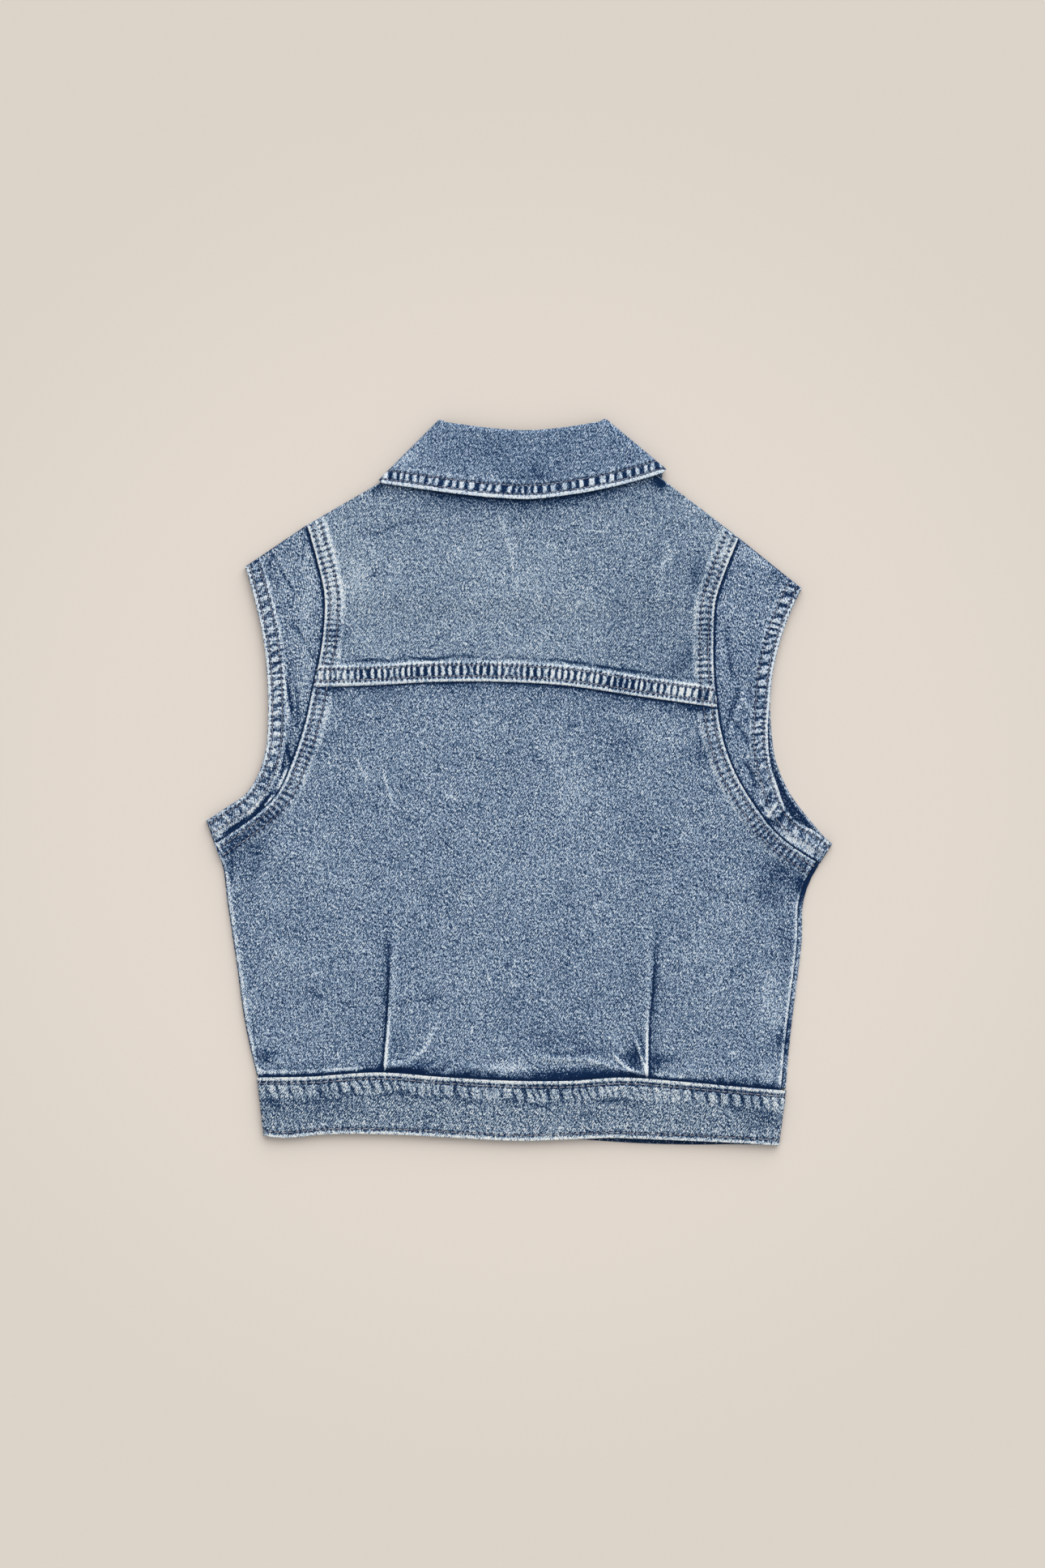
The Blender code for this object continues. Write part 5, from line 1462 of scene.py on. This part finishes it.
# %% Rows of stitches
graph = bpy.context.evaluated_depsgraph_get()
trees = {name: BVHTree.FromObject(piece, graph) for name, piece in shells.items()}
THREAD_LIFT = 0.12
ROW_STEP = 0.9
ARMHOLE_STITCH = 3.4
DROP_FROM = 40.0


def dropped(line, names):
    """Runs of points where a line of the plan lies on top of the named shells."""
    runs, run = [], []
    for spot in line.at(np.linspace(0, 1, int(line.length / ROW_STEP) + 1)):
        start = Vector(((*spot, DROP_FROM) - MIDDLE) * MM)
        found = None
        for name, tree in trees.items():
            hit = tree.ray_cast(start, Vector((0, 0, -1)))[0]
            if hit and (found is None or hit.z > found[0]):
                found = (hit.z, name)
        if found and found[1] in names:
            run.append((start.x, start.y, found[0] + THREAD_LIFT * MM))
        elif run:
            runs.append(run)
            run = []
    return [run for run in runs + [run] if len(run) > 3]


# Line, pieces it is sewn on, stitch length.
ROWS = [(yoke_seam.moved(away), ("back_yoke",), YOKE_STITCH) for away in YOKE_ROWS]
ROWS += [(fall_edge.moved(away), ("collar_fall",), COLLAR_STITCH) for away in COLLAR_ROWS]
for side in SIDES:
    ROWS += [(armhole[side].moved(HAND[side] * away), ("back_panel", "back_yoke"), ARMHOLE_STITCH)
             for away in ARMHOLE_ROWS]
    sleeve_hem = Line(BACK_SLEEVE_HEM[side])
    ROWS += [(sleeve_hem.moved(HAND[side] * away), ("sleeve_" + side,), HEM_STITCH) for away in HEM_ROWS]
ROWS += [(line, ("waistband",), BAND_STITCH)
         for line in (waist.moved(-BAND_TOP_ROW), back_hem_line.moved(BAND_HEM_ROW))]
rows_by_length = {}
for line, names, length in ROWS:
    rows_by_length.setdefault(length, []).extend(dropped(line, names))
print("stitch rows:", {length: len(runs) for length, runs in rows_by_length.items()})


# %% The thread
THREAD_WIDTH = 0.55
THREAD_HEIGHT = 0.42
# Share of the ramp and the colour there, of grey cotton.
THREAD_RAMP = ((0.35, (112, 109, 118)), (0.68, (188, 186, 191)))


def thread_material():
    material, tree, shader = new_material("thread")
    place = tree.nodes.new("ShaderNodeTexCoord").outputs["Object"]
    millimetres = vector(tree, "MULTIPLY", place, IN_MM)
    change = noise(tree, millimetres, (7.0, 7.0, 7.0), 2.0, 3)
    tree.links.new(ramped(tree, change, THREAD_RAMP), shader.inputs["Base Color"])
    twist = noise(tree, millimetres, (0.3, 0.3, 0.3), 1.0, 5)
    bumped(tree, shader, twist, 0.3, 0.0001)
    shader.inputs["Roughness"].default_value = 0.75
    shader.inputs["Specular IOR Level"].default_value = 0.2
    return material


# %% The stitch tree
# Least and most share of its stitch length that a thread shows.
THREAD_SHOWN = (0.74, 0.94)


def stitch_tree():
    tree = bpy.data.node_groups.new("stitches", "GeometryNodeTree")
    tree.interface.new_socket("Geometry", in_out="INPUT", socket_type="NodeSocketGeometry")
    for name, kind, value in (("Stitch Length", "Float", 0.003), ("Thread Width", "Float", 0.0005),
                              ("Thread Height", "Float", 0.0004), ("Seed", "Int", 1)):
        socket = tree.interface.new_socket(name, in_out="INPUT", socket_type="NodeSocket" + kind)
        socket.default_value = value
    tree.interface.new_socket("Thread", in_out="INPUT", socket_type="NodeSocketMaterial")
    tree.interface.new_socket("Geometry", in_out="OUTPUT", socket_type="NodeSocketGeometry")
    given = tree.nodes.new("NodeGroupInput").outputs
    curve = node(tree, "GeometryNodeMeshToCurve", given["Geometry"])
    points = tree.nodes.new("GeometryNodeCurveToPoints")
    points.mode = "LENGTH"
    tree.links.new(curve, points.inputs["Curve"])
    tree.links.new(given["Stitch Length"], points.inputs["Length"])
    rod = tree.nodes.new("GeometryNodeMeshUVSphere")
    for socket, value in (("Segments", 8), ("Rings", 5), ("Radius", 0.5)):
        rod.inputs[socket].default_value = value
    facing = tree.nodes.new("FunctionNodeAlignRotationToVector")
    facing.axis = "X"
    tree.links.new(points.outputs["Tangent"], facing.inputs["Vector"])
    uneven = tree.nodes.new("FunctionNodeRandomValue")
    uneven.data_type = "FLOAT"
    uneven.inputs[2].default_value, uneven.inputs[3].default_value = THREAD_SHOWN
    tree.links.new(given["Seed"], uneven.inputs["Seed"])
    long = calc(tree, "MULTIPLY", given["Stitch Length"], uneven.outputs[1])
    size = node(tree, "ShaderNodeCombineXYZ", long, given["Thread Width"], given["Thread Height"])
    placed = tree.nodes.new("GeometryNodeInstanceOnPoints")
    for socket, value in (("Points", points.outputs["Points"]), ("Instance", rod.outputs["Mesh"]),
                          ("Rotation", facing.outputs["Rotation"]), ("Scale", size)):
        tree.links.new(value, placed.inputs[socket])
    real = node(tree, "GeometryNodeRealizeInstances", placed.outputs["Instances"])
    finished = tree.nodes.new("GeometryNodeSetMaterial")
    tree.links.new(real, finished.inputs["Geometry"])
    tree.links.new(given["Thread"], finished.inputs["Material"])
    tree.links.new(finished.outputs["Geometry"], tree.nodes.new("NodeGroupOutput").inputs["Geometry"])
    return tree


# %% Sew
sewing = stitch_tree()
thread = thread_material()
points, faces = [], []
for length, runs in rows_by_length.items():
    mesh = bpy.data.meshes.new("rows")
    spots = [spot for run in runs for spot in run]
    ends = np.cumsum([len(run) for run in runs])
    mesh.from_pydata(spots, [(k, k + 1) for k in range(len(spots) - 1) if k + 1 not in ends], [])
    guide = linked("rows", mesh)
    modifier = guide.modifiers.new("stitches", "NODES")
    modifier.node_group = sewing
    values = {"Stitch Length": length * MM, "Thread Width": THREAD_WIDTH * MM,
              "Thread Height": THREAD_HEIGHT * MM, "Seed": int(length * 10), "Thread": thread}
    for item in sewing.interface.items_tree:
        if item.in_out == "INPUT" and item.name in values:
            modifier[item.identifier] = values[item.name]
    made = applied(guide)
    first = len(points)
    points += [vert.co[:] for vert in made.vertices]
    faces += [[first + k for k in face.vertices] for face in made.polygons]
    bpy.data.objects.remove(guide)
stitch_mesh = bpy.data.meshes.new("stitches")
stitch_mesh.from_pydata(points, [], faces)
stitch_mesh.materials.append(thread)
stitch_mesh.shade_smooth()
stitches = linked("stitches", stitch_mesh)
stitch_mesh.calc_loop_triangles()
print("stitches:", len(stitch_mesh.loop_triangles), "triangles")

# %% [markdown]
# ## What each piece stands for
# Every shell takes the place of its own solid, which is hidden, and hangs from the root empty.

CUTS = {
    "back_panel": ("denim", 0.368, 0.240, 0.0713, ("front_left", "front_right")),
    "back_yoke": ("denim", 0.262, 0.150, 0.0318, ("front_left", "front_right")),
    "sleeve_left": ("denim", 0.430, 0.042, 0.0107, ("the surface",)),
    "sleeve_right": ("denim", 0.430, 0.046, 0.0124, ("the surface",)),
    "front_left": ("denim", 0.184, 0.350, 0.0475, ("the surface",)),
    "front_right": ("denim", 0.184, 0.358, 0.0466, ("the surface",)),
    "waistband": ("denim", 0.640, 0.040, 0.0232, ("the surface",)),
    "collar_fall": ("denim_collar", 0.330, 0.062, 0.0147, ("back_yoke", "collar_stand")),
    "collar_stand": ("denim_collar", 0.270, 0.028, 0.0052, ("back_yoke",)),
}
for name, piece in shells.items():
    slot, width, length, area, under = CUTS[name]
    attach(piece, "root")
    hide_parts(name)
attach(stitches, "root")

# %% [markdown]
# ## Table, light and camera
# A plain warm pale table, painted a little lighter round the gilet as a pool of light, a broad soft light
# from beyond the collar, a little to the right, and even light from all round. The camera looks straight
# down with a long lens, so the gilet keeps its flat outline.

# %% Table
TABLE_SIZE = 8.0
# The table's middle is painted lighter, a pool of light.
TABLE_LIT_MIDDLE = srgb(229, 219, 209)
TABLE_COLOUR = srgb(222, 214, 203)
# Where the painted pool of light starts to give way to the table's own colour and where it ends, in metres
# from the middle.
TABLE_LIGHT_POOL = (0.22, 0.44)
table_mesh = bpy.data.meshes.new("table")
half = TABLE_SIZE / 2
corners = [(-half, -half, 0), (half, -half, 0), (half, half, 0), (-half, half, 0)]
table_mesh.from_pydata(corners, [], [(0, 1, 2, 3)])
table = linked("table", table_mesh)
table_material, table_tree, paint = new_material("table")
away = vector(table_tree, "LENGTH", table_tree.nodes.new("ShaderNodeTexCoord").outputs["Object"])
share = node(table_tree, "ShaderNodeMapRange", away, *TABLE_LIGHT_POOL, 0.0, 1.0, interpolation_type="SMOOTHSTEP")
shade = node(table_tree, "ShaderNodeMix", share, TABLE_LIT_MIDDLE, TABLE_COLOUR, data_type="RGBA")
table_tree.links.new(shade, paint.inputs["Base Color"])
paint.inputs["Roughness"].default_value = 0.95
paint.inputs["Specular IOR Level"].default_value = 0.0
table_mesh.materials.append(table_material)

# %% Light
LIGHT_PLACE = (0.26, 0.74, 0.60)
LIGHT_POWER = 2.1
LIGHT_ANGLE = 70
SKY_STRENGTH = 0.57
lamp_data = bpy.data.lights.new("window", "SUN")
lamp_data.energy = LIGHT_POWER
lamp_data.angle = np.radians(LIGHT_ANGLE)
lamp = linked("window", lamp_data)
lamp.location = LIGHT_PLACE
lamp.rotation_mode = "QUATERNION"
lamp.rotation_quaternion = (-Vector(LIGHT_PLACE)).to_track_quat("-Z", "Y")
world = bpy.data.worlds.new("room")
world.use_nodes = True
sky = world.node_tree.nodes["Background"].inputs
sky["Color"].default_value = (1.0, 1.0, 1.0, 1.0)
sky["Strength"].default_value = SKY_STRENGTH
bpy.context.scene.world = world
print("light:", LIGHT_POWER, "sky:", SKY_STRENGTH)

# %% Camera
FIELD_HEIGHT = 0.9288
LENS = 85.0
SENSOR = 36.0
AIM = (0.00196, -0.00093, 0.004)
camera_data = bpy.data.cameras.new("camera")
camera_data.lens = LENS
camera_data.sensor_width = SENSOR
camera = linked("camera", camera_data)
camera.location = (AIM[0], AIM[1], AIM[2] + FIELD_HEIGHT * LENS / SENSOR)
bpy.context.scene.camera = camera
bpy.context.scene.view_settings.view_transform = "Standard"
print("camera height:", round(camera.location.z, 3), "m")
